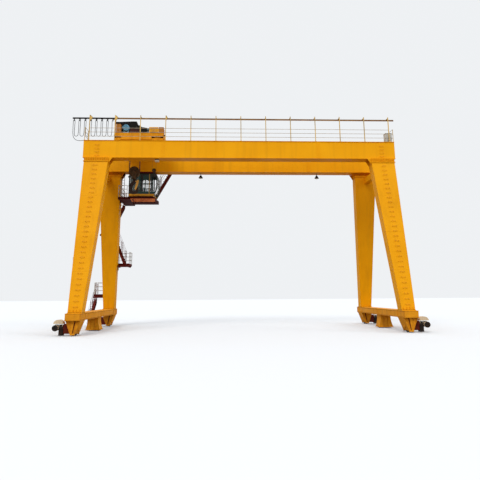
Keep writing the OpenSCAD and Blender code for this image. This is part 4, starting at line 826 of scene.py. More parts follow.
hoist, length = Vector((drum_x - 0.49, -1.96, 16.8)), 0.48
fan_cover = [(0, -0.004), (0.07, -0.004), (0.075, 0.002), (0.225, 0.002), (0.262, 0.02),
             (0.269, 0.045), (0.269, 0.13), (0.2, 0.132)]
mesh = bmesh.new()
lathe(mesh, [(0, 0.06), (0.235, 0.06), (0.235, length - 0.02), (0, length)], hoist, (0, 1, 0), 40)
fins(mesh, hoist, "Y", 36, (-0.004, 0.12, 0.225), (0.004, length - 0.04, 0.268))
lathe(mesh, fan_cover, hoist, (0, 1, 0), 48)
block(mesh, (hoist.x - 0.24, hoist.y + 0.06, side_top + 0.03),
      (hoist.x + 0.24, hoist.y + length - 0.02, side_top + 0.24))
for x in (hoist.x - 0.17, hoist.x + 0.17):
    block(mesh, (x - 0.02, hoist.y + 0.1, side_top + 0.04), (x + 0.02, hoist.y + length - 0.06, hoist.z - 0.15))
block(mesh, hoist + Vector((-0.36, 0.18, -0.02)), hoist + Vector((-0.22, 0.38, 0.14)))
piece("hoist_motor", mesh, blue_paint, "trolley", ["main_winch"], 35)
mesh = bmesh.new()
hoops(mesh, hoist + Vector((0, -0.001, 0)), (0.095, 0.125, 0.155, 0.185, 0.215), 36, 0.005)
spokes = (circle(hoist + Vector((0, -0.002, 0)), radius, 6, first=30) for radius in (0.05, 0.235))
for start, end in zip(*spokes):
    rod(mesh, start, end, 0.006, 6)
lathe(mesh, [(0, -0.012), (0.045, -0.012), (0.055, 0), (0, 0)], hoist, (0, 1, 0), 24)
piece("fan_grille", mesh, dark_blue, "trolley", smooth=40)
mesh = bmesh.new()
box = Vector((drum_x, -1.9, side_top))
for first, second in (((-1.04, -0.05, 0.0003), (1.06, 0.62, 0.03)), ((-0.16, 0, 0.03), (0.72, 0.34, 0.5)),
                      ((-0.2, -0.015, 0.26), (0.76, 0.355, 0.285))):
    block(mesh, box + Vector(first), box + Vector(second))
for x, radius in ((0.02, 0.19), (0.34, 0.13), (0.6, 0.08)):
    rod(mesh, box + Vector((x, -0.03, 0.36)), box + Vector((x, 0.38, 0.36)), radius, 32)
winch_red = paint("winch_red", (62, 30, 26), (48, 22, 20), (50, 36, 30), 0.4, 0.4, 0.1)
rounded(piece("hoist_gearbox", mesh, winch_red, "trolley", smooth=40), 0.012)
mesh = bmesh.new()
spots = [box + Vector((-0.17 + i * 0.111, y, 0.285)) for i in range(9) for y in (-0.005, 0.345)]
bolts(mesh, spots, (0, 0, 1), 0.012)
rod(mesh, box + Vector((0.92, 0.05, 0.24)), box + Vector((0.92, 0.34, 0.24)), 0.12, 24)
rod(mesh, box + Vector((0.74, 0.2, 0.24)), box + Vector((0.98, 0.2, 0.24)), 0.05)
block(mesh, box + Vector((0.82, 0.08, 0.03)), box + Vector((1.02, 0.32, 0.14)))
piece("hoist_brake", mesh, motor_black, "trolley", smooth=40)

# Winch hood. Black sheet steel over the drum, folded from panels with riveted seams and
# louvres in its end.
hood_black = paint("hood_black", (15, 14, 13), (22, 20, 18), (44, 36, 28), 0.4, 0.4)
repaint(hood_black, "winch_hood")
hood_low, hood_high = extent("winch_hood")
crest = [(drum_x + x, side_top + z)
         for x, z in ((0.06, 1.39), (0.26, 1.03), (0.58, 1.03), (0.76, 0.87), (1.2, 0.81))]
hood_line = [(hood_low.x, hood_low.z + 0.061), (hood_low.x, side_top + 1.33), *crest,
             (hood_high.x, side_top + 0.061)]
mesh = bmesh.new()
for y, out in ((hood_low.y, -1), (hood_high.y, 1)):
    lift = Vector((0, out * 0.004, 0))
    for (xa, za), (xb, zb) in zip(hood_line, hood_line[1:]):
        start, end = Vector((xa, y, za)), Vector((xb, y, zb))
        along = (end - start).normalized()
        across = Vector((along.z, 0, -along.x)) * 0.05
        plate(mesh, [start, end, end + across, start + across], lift)
        count = max(2, int((end - start).length / 0.1))
        for k in range(count):
            spot = start.lerp(end, (k + 0.5) / count) + across * 0.5 + lift
            rod(mesh, spot, spot + lift, 0.008, 6)
    for x, top in ((hood_low.x + 0.62, 1.3), (hood_low.x + 1.24, 1.0)):
        block(mesh, (x - 0.02, y, side_top + 0.07), (x + 0.02, y + out * 0.005, side_top + top))
for z in (side_top + 0.3 + i * 0.075 for i in range(8)):
    panel(mesh, [(hood_low.x, z), (hood_low.x - 0.022, z - 0.03), (hood_low.x, z - 0.034)], -0.8, 1.6)
for first, second in zip(hood_line[1:], hood_line[2:-1]):
    lift = Vector((first[1] - second[1], second[0] - first[0])).normalized() * 0.005
    for y in (-0.97, -0.32, 0.28, 0.93):
        strip(mesh, (first, second), y, 0.04, *lift)
nose = ((0.04, 1.388), (0.31, 1.384), (0.42, 1.04), (0.25, 1.028))
panel(mesh, [(drum_x + x, side_top + z) for x, z in nose], hood_low.y + 0.002, hood_high.y - hood_low.y - 0.004)
piece("hood_seams", mesh, hood_black, "trolley")

# Small winch. Its motor and gears stand in a mustard housing with rounded shoulders, with
# pale strips of painted highlight down its front edges; a small grooved drum turns beside it.
mustard = paint("mustard", (216, 158, 46), (196, 138, 40), (130, 84, 30), 0.45, 0.4, 0.1)
tan_paint = paint("tan_paint", (176, 118, 52), (158, 102, 46), (110, 72, 36), 0.5, 0.5, 0.1)
small_x, small_z, small_radius = -7.56, 16.56, 0.16
low, high = Vector((small_x - 0.3, -1.46, deck)), Vector((small_x + 0.56, -0.4, side_top + 0.88))
base, lid = low.z + 0.38, high.z - 0.15
mesh = bmesh.new()
housing = [(low.x + 0.03, base), (low.x, base + 0.06), (low.x, lid), (high.x - 0.09, lid),
           (high.x - 0.03, lid - 0.1), (high.x, lid - 0.24), (high.x, base + 0.06), (high.x - 0.03, base)]
panel(mesh, housing, low.y, high.y - low.y)
block(mesh, (low.x - 0.012, low.y - 0.012, lid), (high.x - 0.08, high.y + 0.012, high.z))
rounded(piece("small_housing", mesh, mustard, "trolley", ["small_winch"], 40), 0.018)
mesh = bmesh.new()
# Painted highlight: the pale strips down both front edges stand for light on the rounded edges. A pale strip along
# the lid and five short pale slats sit on the face.
for x in (low.x + 0.03, high.x - 0.03):
    block(mesh, (x - 0.026, low.y - 0.014, base - 0.06), (x + 0.026, low.y + 0.002, lid - 0.12))
block(mesh, (low.x + 0.1, low.y - 0.018, lid + 0.05), (high.x - 0.18, low.y + 0.002, lid + 0.075))
for z in (base + 0.08 + i * 0.045 for i in range(5)):
    block(mesh, (small_x - 0.04, low.y - 0.012, z), (small_x + 0.24, low.y + 0.001, z + 0.018))
pale_yellow = paint("pale_yellow", (232, 186, 96), (214, 164, 76), (150, 104, 50), 0.5, 0.3)
piece("housing_strips_and_highlights", mesh, pale_yellow, "trolley")
mesh = bmesh.new()
block(mesh, (low.x + 0.08, low.y + 0.04, low.z), (high.x - 0.08, high.y - 0.04, base))
block(mesh, (low.x + 0.02, low.y - 0.01, low.z), (high.x - 0.02, high.y, low.z + 0.03))
piece("housing_base", mesh, gearbox_red, "trolley")
mesh = bmesh.new()
spot = Vector((low.x - 0.02, -1.3, side_top + 0.66))
can = [(0, 0), (0.115, 0), (0.115, 0.25), (0.126, 0.255), (0.126, 0.35), (0.095, 0.365), (0, 0.365)]
lathe(mesh, can, spot, (-1, 0, 0), 28)
fins(mesh, spot, "X", 18, (-0.235, -0.003, 0.11), (-0.015, 0.003, 0.13))
block(mesh, (spot.x - 0.22, spot.y - 0.07, deck), (spot.x - 0.06, spot.y + 0.07, spot.z - 0.09))
grey_blue = paint("grey_blue", (112, 130, 136), (92, 108, 114), (72, 64, 56), 0.45, 0.3)
piece("small_motor", mesh, grey_blue, "trolley", ["small_winch"], 35)
mesh = bmesh.new()
flange_radius = small_radius + 0.03
groove = [(0, -0.395), (flange_radius, -0.395), (flange_radius, -0.375), (small_radius - 0.012, -0.374)]
for y in (-0.36 + i * 0.0285 for i in range(42)):
    groove += [(small_radius - 0.01, y), (small_radius - 0.001, y + 0.008), (small_radius - 0.001, y + 0.02)]
groove += [(small_radius - 0.012, 0.846), (flange_radius, 0.848), (flange_radius, 0.868), (0, 0.868)]
lathe(mesh, groove, (small_x, 0, small_z), (0, 1, 0), 28)
piece("small_drum", mesh, rope_steel, "trolley", ["small_winch"], 30)
mesh = bmesh.new()
stand = ((-0.16, deck), (0.16, deck), (0.08, small_z + 0.06), (0, small_z + 0.1), (-0.08, small_z + 0.06))
panel(mesh, [(small_x + x, z) for x, z in stand], 0.885, 0.07)
rod(mesh, (small_x, 0.86, small_z), (small_x, 0.98, small_z), 0.07, 24)
rounded(piece("small_stand", mesh, gearbox_red, "trolley", ["small_winch"], 40), 0.004, 1)

# Trolley cabinets. Sheet steel boxes for the trolley's switchgear, with doors, hinges and
# handles, and a black cover over the left one.
repaint(tan_paint, "trolley_cabinet")
mesh = bmesh.new()
for x0, x1, y, top in ((-10.47, -10.11, -2.37, 0.95), (-6.9, -6.51, -2.41, 0.5)):
    block(mesh, (x0 + 0.025, y - 0.014, side_top + 0.04), (x1 - 0.025, y + 0.001, side_top + top - 0.03))
    block(mesh, (x0 - 0.015, y - 0.022, side_top + top - 0.004), (x1 + 0.01, y + 0.36, side_top + top + 0.012))
    for z in (side_top + 0.1, side_top + top - 0.22):
        rod(mesh, (x0 + 0.02, y - 0.014, z), (x0 + 0.02, y - 0.014, z + 0.06), 0.009, 8)
    z = side_top + top * 0.45
    block(mesh, (x1 - 0.07, y - 0.03, z), (x1 - 0.05, y - 0.013, z + 0.1))
rounded(piece("cabinet_doors_trolley", mesh, tan_paint, "trolley"), 0.003, 1)
mesh = bmesh.new()
block(mesh, (-10.492, -2.398, side_top + 0.8), (-10.1, -1.99, side_top + 0.966))
piece("cabinet_cover", mesh, hood_black, "trolley")


# Hoisting ropes. Twisted steel wire ropes, eight falls to the main block and two to the
# small one.
def rope(mesh, x, y, low, high, radius, lay):
    """A rope of six strands from low up to high."""
    before, length = set(mesh.verts), high - low
    ring = bmesh.ops.create_circle(mesh, segments=12, radius=radius)["verts"]
    for vert in ring[::2]:
        vert.co *= 0.8
    edges = list({edge for vert in ring for edge in vert.link_edges})
    steps = int(length / lay * 8)
    made = bmesh.ops.spin(mesh, geom=ring + edges, cent=(0, 0, 0), axis=(0, 0, 1), dvec=(0, 0, length / steps),
                          angle=2 * math.pi * length / lay, steps=steps, use_merge=False)
    last = [item for item in made["geom_last"] if isinstance(item, bmesh.types.BMVert)]
    for end in (ring, last):
        bmesh.ops.contextual_create(mesh, geom=end)
    bmesh.ops.translate(mesh, vec=(x, y, low), verts=[vert for vert in mesh.verts if vert not in before])


block_z, sheaves, small_block_z, small_rope = 13.42, (-0.18, -0.06, 0.06, 0.18), 13.56, 0.008
mesh, small = bmesh.new(), bmesh.new()
for side in (-1, 1):
    for y in sheaves:
        rope(mesh, drum_x + side * (drum_radius + rope_radius), y, block_z, drum_z, rope_radius, 0.16)
    rope(small, small_x + side * (small_radius + small_rope), 0, small_block_z, small_z, small_rope, 0.12)
for name, made, node, block_body, x, low, high in (
    ("hoist_ropes", mesh, "main_ropes", "main_hoist_block", drum_x, block_z, drum_z),
    ("small_hoist_ropes", small, "small_ropes", "small_hoist_block", small_x, small_block_z, small_z),
):
    ropes = piece(name, made, rope_steel, None, [node], 60)
    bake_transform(ropes)


# Main hook block. Four steel sheaves between two cheek plates on one axle; the cheeks carry
# the cross head that the hook's shank turns in. All is dark with grease and dust.
def greasy(name, main, dusty, metallic=0.3):
    finish = Finish(name)
    dust = finish.noise(5, 5).clipped(0.35, 0.68)
    worn = finish.noise(22, 4).clipped(0.6, 0.72)
    base = finish.mix(worn * 0.5, finish.mix(dust, main, dusty), (128, 112, 92))
    finish.bump(finish.noise(30, 4), 0.003)
    return finish.shade(base, dust * 0.25 + 0.5, Metallic=metallic, Specular_IOR_Level=0.15)


block_dark = greasy("block_dark", (40, 28, 19), (98, 76, 50))
hook_dark = greasy("hook_dark", (36, 26, 22), (58, 44, 36), 0.2)
golden = paint("golden", (218, 170, 84), (198, 148, 66), (140, 98, 48), 0.4, 0.4, 0.1, 90)


def sheave(mesh, spot, radius, half, groove):
    side = [(radius - 0.002, groove * 0.25), (radius + groove, half * 0.8), (radius + groove, half),
            (radius * 0.86, half), (radius * 0.82, half * 0.35), (radius * 0.32, half * 0.35),
            (radius * 0.3, half), (0, half)]
    lathe(mesh, [(a, -b) for a, b in reversed(side)] + side, spot, (0, 1, 0), 48)


def cheek(mesh, x, y, z, half, top, low, thick, steps):
    """A cheek plate, round above the axle and narrower below."""
    outline = [(x - half * 0.72, z - low), (x + half * 0.72, z - low), (x + half, z - low * 0.3)]
    outline += [*arc(x, z + top - half, half, half, 0, 180, steps), (x - half, z - low * 0.3)]
    panel(mesh, outline, y - thick / 2, thick)


mesh = bmesh.new()
for y in sheaves:
    sheave(mesh, (drum_x, y, block_z), drum_radius, 0.032, 0.024)
piece("main_sheaves", mesh, block_dark, "main_hoist_block", ["main_block"], 35)
mesh = bmesh.new()
cheek_y, cheek_foot = 0.26, block_z - 0.7
for side in (-1, 1):
    y = side * cheek_y
    cheek(mesh, drum_x, y, block_z, 0.2, 0.25, 0.7, 0.028, 10)
    rod(mesh, (drum_x, y, block_z), (drum_x, y + side * 0.045, block_z), 0.07, 24)
    rod(mesh, (drum_x, y + side * 0.014, block_z), (drum_x, y + side * 0.024, block_z), 0.115, 28)
    bolts(mesh, circle((drum_x, y + side * 0.024, block_z), 0.095, 6), (0, side, 0), 0.01)
    spots = [(drum_x + x, y + side * 0.014, cheek_foot + z) for x in (-0.095, 0.095) for z in (0.05, 0.13)]
    bolts(mesh, spots, (0, side, 0), 0.014)
    for x, z in ((-0.16, -0.12), (0.16, -0.12), (0, 0.2)):
        x, z = drum_x + x, block_z + z
        rod(mesh, (x, y + side * 0.012, z), (x, y + side * 0.03, z), 0.016, 10)
block(mesh, (drum_x - 0.14, -cheek_y, cheek_foot + 0.01), (drum_x + 0.14, cheek_y, block_z - 0.54))
rod(mesh, (drum_x, 0, block_z - 0.545), (drum_x, 0, block_z - 0.475), 0.125, 32)
rod(mesh, (drum_x, 0, block_z - 0.48), (drum_x, 0, block_z - 0.44), 0.09, 6)
guard_radius = drum_radius + 0.05
strip(mesh, arc(drum_x, block_z, guard_radius, guard_radius, 200, 340, 12), -0.245, 0.49, 0, -0.008)
piece("main_cheeks", mesh, block_dark, "main_hoist_block", ["main_block"], 40)


# Main hook. Forged in one piece: a round shank that runs into a thick bowl and ends in a
# slim tip, with a golden latch hinged on a collar.
def forged(mesh, route, sizes, sides=20, steps=4):
    """A bar along route, whose half width and half depth change from point to point."""
    line, spread, thin = smoothed(route, steps), smoothed([(a, b, 0) for a, b in sizes], steps), 0.01
    for ring, spot, size in zip(tube(mesh, line, thin, sides), line, spread):
        for vert in ring:
            away = (vert.co - spot) / thin
            depth = Vector((0, away.y, 0))
            vert.co = spot + (away - depth) * size.x + depth * size.y


hook_z = 11.89
hook_route = [
    (0, 0.82), (0, 0.7), (-0.03, 0.59), (-0.12, 0.48), (-0.21, 0.36), (-0.27, 0.2), (-0.3, 0.06), (-0.29, -0.1),
    (-0.235, -0.22), (-0.12, -0.3), (0.02, -0.318), (0.165, -0.27), (0.265, -0.16), (0.305, -0.03),
    (0.318, 0.08), (0.335, 0.13),
]
hook_sizes = [
    (0.11, 0.095), (0.125, 0.1), (0.16, 0.11), (0.175, 0.112), (0.165, 0.106), (0.15, 0.1), (0.144, 0.1),
    (0.15, 0.102), (0.158, 0.104), (0.162, 0.106), (0.156, 0.104), (0.14, 0.096), (0.118, 0.084), (0.092, 0.07),
    (0.062, 0.054), (0.03, 0.03),
]
collar = [(0.09, 0.545), (0.15, 0.555), (0.165, 0.6), (0.165, 0.68), (0.15, 0.72), (0.09, 0.73)]
mesh = bmesh.new()
forged(mesh, [(drum_x + x, 0, hook_z + z) for x, z in hook_route], hook_sizes)
lathe(mesh, collar, (drum_x, 0, hook_z), (0, 0, 1))
piece("main_hook_forging", mesh, hook_dark, "main_hook_body", ["main_hook"], 50)
mesh = bmesh.new()
latch = ((0.345, 0.77), (0.31, 0.62), (0.265, 0.42), (0.215, 0.22), (0.165, 0.04), (0.13, -0.09))
latch_sizes = ((0.07, 0.014), (0.095, 0.014), (0.1, 0.013), (0.095, 0.012), (0.08, 0.011), (0.045, 0.01))
forged(mesh, [(drum_x + x, -0.075, hook_z + z) for x, z in latch], latch_sizes, 12, 3)
block(mesh, (drum_x + 0.12, -0.095, hook_z + 0.62), (drum_x + 0.34, -0.055, hook_z + 0.7))
rod(mesh, (drum_x + 0.305, -0.115, hook_z + 0.66), (drum_x + 0.305, -0.03, hook_z + 0.66), 0.022, 12)
piece("hook_latch", mesh, golden, "main_hook_body", smooth=40)

# Small hook. The same in small, with one sheave between two cheeks.
mesh = bmesh.new()
sheave(mesh, (small_x, 0, small_block_z), small_radius, 0.025, 0.016)
for side in (-1, 1):
    y = side * 0.045
    cheek(mesh, small_x, y, small_block_z, 0.09, 0.11, 0.26, 0.016, 8)
    rod(mesh, (small_x, y, small_block_z), (small_x, y + side * 0.018, small_block_z), 0.032)
    spots = [(small_x + x, y + side * 0.008, small_block_z - 0.225) for x in (-0.035, 0.035)]
    bolts(mesh, spots, (0, side, 0), 0.009)
block(mesh, (small_x - 0.06, -0.045, small_block_z - 0.255), (small_x + 0.06, 0.045, small_block_z - 0.2))
piece("small_block_dressed", mesh, block_dark, "small_hoist_block", ["small_block"], 40)
mesh = bmesh.new()
small_scale, shank = 0.235, 0.024
small_route = [(0, 0.152), (0, 0.12)] + [(x * small_scale, z * small_scale) for x, z in hook_route[1:]]
small_sizes = [(shank, shank)] * 2 + [(a * small_scale, b * small_scale) for a, b in hook_sizes[1:]]
forged(mesh, [(small_x + x, 0, small_block_z - 0.41 + z) for x, z in small_route], small_sizes, 16, 3)
piece("small_hook_forging", mesh, hook_dark, "small_hook_body", ["small_hook"], 50)


# Driver's cab. A welded cab with a bulging front window, hung under the far girder; its
# frames are dark teal, its sill and window pillar mustard, and its roof frame maroon.
def holed(mesh, outside, inside, depth):
    """A flat frame between two closed outlines, drawn out along depth."""
    loops = []
    for outline in (outside, inside):
        verts = [mesh.verts.new(point) for point in outline]
        loops += [mesh.edges.new(pair) for pair in zip(verts, verts[1:] + verts[:1])]
    faces = bmesh.ops.bridge_loops(mesh, edges=loops)["faces"]
    grown = bmesh.ops.extrude_face_region(mesh, geom=faces)["geom"]
    bmesh.ops.translate(mesh, vec=depth, verts=[v for v in grown if isinstance(v, bmesh.types.BMVert)])


def rounded_window(low_x, high_x, lip, y, radius):
    """The outline of a window with round corners, smaller than its opening by lip."""
    left, right = low_x + lip + radius, high_x - lip - radius
    foot, top = window_low + lip + radius, window_high - lip - radius
    line = []
    for x, z, first in ((right, top, 0), (left, top, 90), (left, foot, 180), (right, foot, 270)):
        line += arc(x, z, radius, radius, first, first + 90, 5)
    return [(x, y, z) for x, z in line]


cab_low, cab_high = extent("cab_walls")
near_side, far_side = cab_low.y, cab_high.y
window_low, window_high = cab_low.z + 0.42, cab_low.z + 1.94
teal = Finish("cab_paint")
wear = teal.noise(3, 5).clipped(0.4, 0.7)
frame_teal = teal.mix(wear, (44, 76, 78), (58, 70, 58))
sill_mustard = teal.mix(wear, (206, 152, 50), (170, 118, 44))
teal.bump(teal.noise(50), 0.001)
teal_colour = teal.mix(teal.axis("Z") < cab_low.z + 0.16, frame_teal, sill_mustard)
cab_paint = teal.shade(teal_colour, wear * 0.15 + 0.5, Specular_IOR_Level=0.12)
glass = Finish("cab_glass")
smears = glass.noise(1.6, 5, (1, 1, 0.3)).clipped(0.45, 0.75)
glass_colour = glass.mix(smears, (150, 178, 176), (196, 200, 190))
repaint(glass.shade(glass_colour, smears * 0.2 + 0.05, Alpha=smears * 0.14 + 0.14), "cab_glass")
maroon = paint("maroon", (88, 24, 18), (66, 18, 14), (52, 28, 22), 0.6, 0.4)
dark_roof = paint("dark_roof", (44, 26, 22), (34, 24, 22), (64, 44, 34), 0.5, 0.4)
dim_gold = paint("dim_gold", (156, 132, 74), (128, 106, 60), (90, 68, 40), 0.5, 0.3)
repaint(cab_paint, "cab_walls", "cab_floor")
repaint(dark_roof, "cab_roof")
mesh = bmesh.new()
for y, out, lip, radius in ((near_side, -1, 0.04, 0.13), (far_side, 1, 0.01, 0.06)):
    for x0, x1 in ((-9.92, -8.83), (-8.77, -7.99)):
        outside = rounded_window(x0, x1, -0.025, y, 0.03)
        holed(mesh, outside, rounded_window(x0, x1, lip, y, radius), (0, out * 0.014, 0))
front = ((-7.93, 11.94), (-7.62, 11.94), (-7.52, 12.37), (-7.5, 12.72), (-7.56, 13.33),
         (-7.69, 13.46), (-7.93, 13.46))
for y in (near_side - 0.006, far_side + 0.006):
    tube(mesh, [(x, y, z) for x, z in front + front[:1]], 0.02, 8)
rear = [(cab_low.x, y, z)
        for y, z in ((1.65, window_low), (2.75, window_low), (2.75, window_high), (1.65, window_high))]
tube(mesh, rear + rear[:1], 0.022, 8)
piece("window_gaskets", mesh, black_rubber, smooth=40)
mesh = bmesh.new()
bars_y, head_z = near_side - 0.012, 12.9
for x0, x1, z0, z1 in ((-8.93, -8.74, 11.94, 13.46), (-9, -7.88, 12.62, 12.72), (-9, -7.88, 12.15, 12.24),
                       (-7.9, -7.8, 11.94, 13.46)):
    block(mesh, (x0, bars_y, z0), (x1, near_side + 0.03, z1))
arch = [(-9.1, 13.44), (-9.1, 12.96), (-8.74, head_z), *arc(-8.47, head_z, 0.26, 0.13, 180, 0, 12),
        (-8.08, head_z), *arc(-7.97, head_z, 0.1, 0.09, 180, 0, 8), (-7.83, head_z), (-7.83, 13.44)]
panel(mesh, arch, bars_y, 0.01)
piece("window_bars", mesh, cab_paint)
mesh = bmesh.new()
block(mesh, (-8.185, near_side - 0.026, cab_low.z + 0.152), (-8.1, near_side + 0.01, cab_high.z - 0.01))
piece("window_pillar", mesh, dim_gold)
mesh = bmesh.new()
for y, out in ((near_side - 0.02, -1), (far_side + 0.02, 1)):
    block(mesh, (cab_low.x, y - out * 0.02, cab_low.z + 0.01), (-7.76, y, cab_low.z + 0.15))
    bolts(mesh, [(cab_low.x + 0.1 + i * 0.155, y, cab_low.z + 0.08) for i in range(14)], (0, out, 0), 0.01)
piece("cab_sill", mesh, mustard)
mesh = bmesh.new()
roof_low, roof_high = extent("cab_roof")
for y in (roof_low.y, roof_high.y - 0.07):
    block(mesh, (roof_low.x + 0.05, y, roof_high.z), (roof_high.x - 0.02, y + 0.07, roof_high.z + 0.13))
for x in (roof_low.x + 0.05, roof_high.x - 0.09):
    block(mesh, (x, roof_low.y, roof_high.z), (x + 0.07, roof_high.y, roof_high.z + 0.125))
piece("cab_roof_frame", mesh, maroon)

# Cab fittings. Grey tubes guard the bulging front window, with a wiper below them; inside
# stand a moulded seat and two consoles with levers, and the rear has a door.
galvanised = mottled("galvanised", (178, 174, 164), (134, 124, 110), (6, 4), 0.35, 0.7, (80,), 0.001, 0.5)
cab_grey_blue = paint("cab_grey_blue", (78, 98, 108), (60, 82, 90), (56, 56, 52), 0.5, 0.3)
guard_paint = paint("guard_paint", (112, 104, 90), (88, 82, 70), (70, 52, 38), 0.5, 0.4)
guard = ((-7.69, 13.6), (-7.5, 13.5), (-7.41, 13.24), (-7.4, 12.72), (-7.44, 12.24),
         (-7.56, 11.82), (-7.74, 11.6))
mesh = bmesh.new()
for y in (near_side - 0.02 + i * (far_side - near_side + 0.04) / 3 for i in range(4)):
    tube(mesh, smoothed([(x, y, z) for x, z in guard]), 0.014, 10)
for x, z in guard[1::2]:
    rod(mesh, (x, near_side - 0.04, z), (x, far_side + 0.04, z), 0.011, 10)
piece("window_guard", mesh, guard_paint, smooth=50)
mesh = bmesh.new()
rod(mesh, (-7.56, 2.2, 11.9), (-7.5, 2.2, 11.94), 0.018, 12)
tube(mesh, smoothed([(-7.52, 2.2, 11.94), (-7.47, 2.35, 12.3), (-7.455, 2.5, 12.7)]), 0.006, 6)
tube(mesh, smoothed([(-7.475, 2.38, 12.35), (-7.452, 2.52, 12.72), (-7.47, 2.62, 13.05)]), 0.009, 6)
lathe(mesh, [(0, 0), (0.06, 0), (0.1, 0.09), (0.095, 0.1), (0, 0.1)],
      (-9.96, near_side - 0.01, 13.3), (0, -1, 0), 20)
rod(mesh, (-9.96, near_side + 0.01, 13.3), (-9.96, near_side - 0.02, 13.3), 0.03, 12)
piece("cab_wiper_horn", mesh, black_rubber, smooth=40)
mesh = bmesh.new()
seat = Vector((-8.46, 2.2, cab_low.z))
cushion = ((-0.2, 0.36), (0.2, 0.34), (0.24, 0.4), (0.18, 0.44), (-0.12, 0.46), (-0.19, 0.56), (-0.26, 0.92),
           (-0.33, 0.93), (-0.3, 0.66), (-0.25, 0.42))
knob = [(0, 0.55), (0.018, 0.555), (0.026, 0.58), (0.018, 0.605), (0, 0.61)]
panel(mesh, [(seat.x + x, seat.z + z) for x, z in cushion], seat.y - 0.22, 0.44)
rod(mesh, seat, seat + Vector((0, 0, 0.36)), 0.06)
for side in (-1, 1):
    spot = seat + Vector((0, side * 0.4, 0))
    block(mesh, spot + Vector((-0.28, -0.1, 0)), spot + Vector((0.1, 0.1, 0.4)))
    block(mesh, spot + Vector((-0.25, -0.08, 0.4)), spot + Vector((0.07, 0.08, 0.43)))
    for x in (-0.16, 0):
        rod(mesh, spot + Vector((x, 0, 0.42)), spot + Vector((x, 0, 0.56)), 0.01, 8)
        lathe(mesh, knob, spot + Vector((x, 0, 0)), (0, 0, 1), 14)
rounded(piece("seat_consoles", mesh, dark_blue, smooth=40), 0.02)
mesh = bmesh.new()
block(mesh, (cab_low.x + 0.12, near_side + 0.1, cab_low.z + 0.0605),
      (cab_low.x + 1.02, near_side + 0.4, cab_high.z - 0.18))
for x in (cab_low.x + 0.145, cab_low.x + 0.59):
    block(mesh, (x, near_side + 0.086, cab_low.z + 0.12), (x + 0.405, near_side + 0.101, cab_high.z - 0.24))
rounded(piece("cab_cabinet", mesh, cab_grey_blue), 0.008, 1)
mesh = bmesh.new()
x, foot = cab_low.x - 0.014, cab_low.z
frames = [[(x, y, z) for y, z in ((y0, z0), (y1, z0), (y1, z1), (y0, z1))] for y0, y1, z0, z1 in (
    (1.56, 2.84, foot + 0.06, cab_high.z - 0.08), (1.66, 2.74, window_low + 0.01, window_high - 0.01))]
holed(mesh, *frames, (0.016, 0, 0))
for z in (foot + 0.35, foot + 1.1, foot + 1.8):
    rod(mesh, (x - 0.006, 2.85, z), (x - 0.006, 2.85, z + 0.12), 0.014, 10)
handle = ((0, 0.86), (-0.05, 0.88), (-0.05, 1.06), (0, 1.08))
tube(mesh, smoothed([(x + a, 1.61, foot + z) for a, z in handle]), 0.01, 8)
piece("cab_door", mesh, cab_paint, smooth=40)


# Cab platform. A welded frame round the cab with a grating floor and kick plates; its front
# beam is faded to a brownish pink above a dark red bar.
def grating(mesh, x0, x1, y0, y1, z, pitch=0.055):
    """Bearing bars across a floor, with four bars over them."""
    count = int((x1 - x0) / pitch)
    for x in (x0 + (i + 0.5) * (x1 - x0) / count for i in range(count)):
        block(mesh, (x - 0.003, y0, z - 0.004), (x + 0.003, y1, z + 0.016))
    for y in (y0 + (k + 0.5) * (y1 - y0) / 4 for k in range(4)):
        block(mesh, (x0, y - 0.003, z - 0.003), (x1, y + 0.003, z + 0.013))


platform_low, platform_high = extent("cab_platform")
red = Finish("platform_paint")
x, y, z = (red.axis(name) for name in "XYZ")
band = (z > platform_low.z + 0.075) * (z < platform_low.z + 0.385) * (x > -9.78) * (y < platform_low.y + 0.135)
wear = red.noise(3, 5).clipped(0.4, 0.7)
dark, faded = red.mix(wear, (64, 16, 13), (42, 14, 12)), red.mix(wear, (206, 126, 78), (180, 100, 62))
red.bump(red.noise(60), 0.001)
platform_paint = red.shade(red.mix(band, dark, faded), 0.75, Specular_IOR_Level=0.05)
repaint(platform_paint, "cab_platform")
repaint(maroon, "cab_hangers", "stair_brackets")
floor_top = 11.44
mesh = bmesh.new()
grating(mesh, -10.88, -10.02, 1.31, 4.6, floor_top)
grating(mesh, -9.98, -7.62, 3.1, 3.95, floor_top)
piece("platform_grating", mesh, galvanised)
mesh = bmesh.new()
kick_plates = ((-10.895, 1.295, -10.895, 4.6), (-10.895, 4.612, -10.03, 4.612), (-10.03, 3.962, -7.61, 3.962),
               (-7.606, 3.05, -7.606, 3.962))
for xa, ya, xb, yb in kick_plates:
    block(mesh, (xa - 0.003, ya - 0.003, floor_top - 0.01), (xb + 0.003, yb + 0.003, floor_top + 0.1))
for x in (-9.3, -8.75, -8.2):
    block(mesh, (x - 0.006, platform_low.y - 0.008, 11.005), (x + 0.006, platform_low.y + 0.02, 11.255))
bolts(mesh, [(-9.38 + i * 0.21, platform_low.y + 0.0195, 11.06) for i in range(9)], (0, -1, 0), 0.012)
panel(mesh, [(-9.8, 11.27), (-9.68, 11.27), (-9.33, 10.7), (-9.37, 10.64)], 1.3, 0.03)
piece("platform_edges", mesh, platform_paint)
mesh = bmesh.new()
hanger_top = extent("cab_hangers")[1].z
for spot in (Vector((x, y, hanger_top)) for x in (-10.04, -9.68, -8.03) for y in (1.8, 2.6)):
    block(mesh, spot + Vector((-0.11, -0.11, -0.018)), spot + Vector((0.11, 0.11, -0.0004)))
    places = [spot + Vector((a, b, -0.018)) for a in (-0.08, 0.08) for b in (-0.08, 0.08)]
    bolts(mesh, places, (0, 0, -1), 0.015)
block(mesh, (-10.76, 2.13, hanger_top - 0.3), (-10.58, 2.27, hanger_top - 0.06))
piece("hanger_plates", mesh, dark_roof)

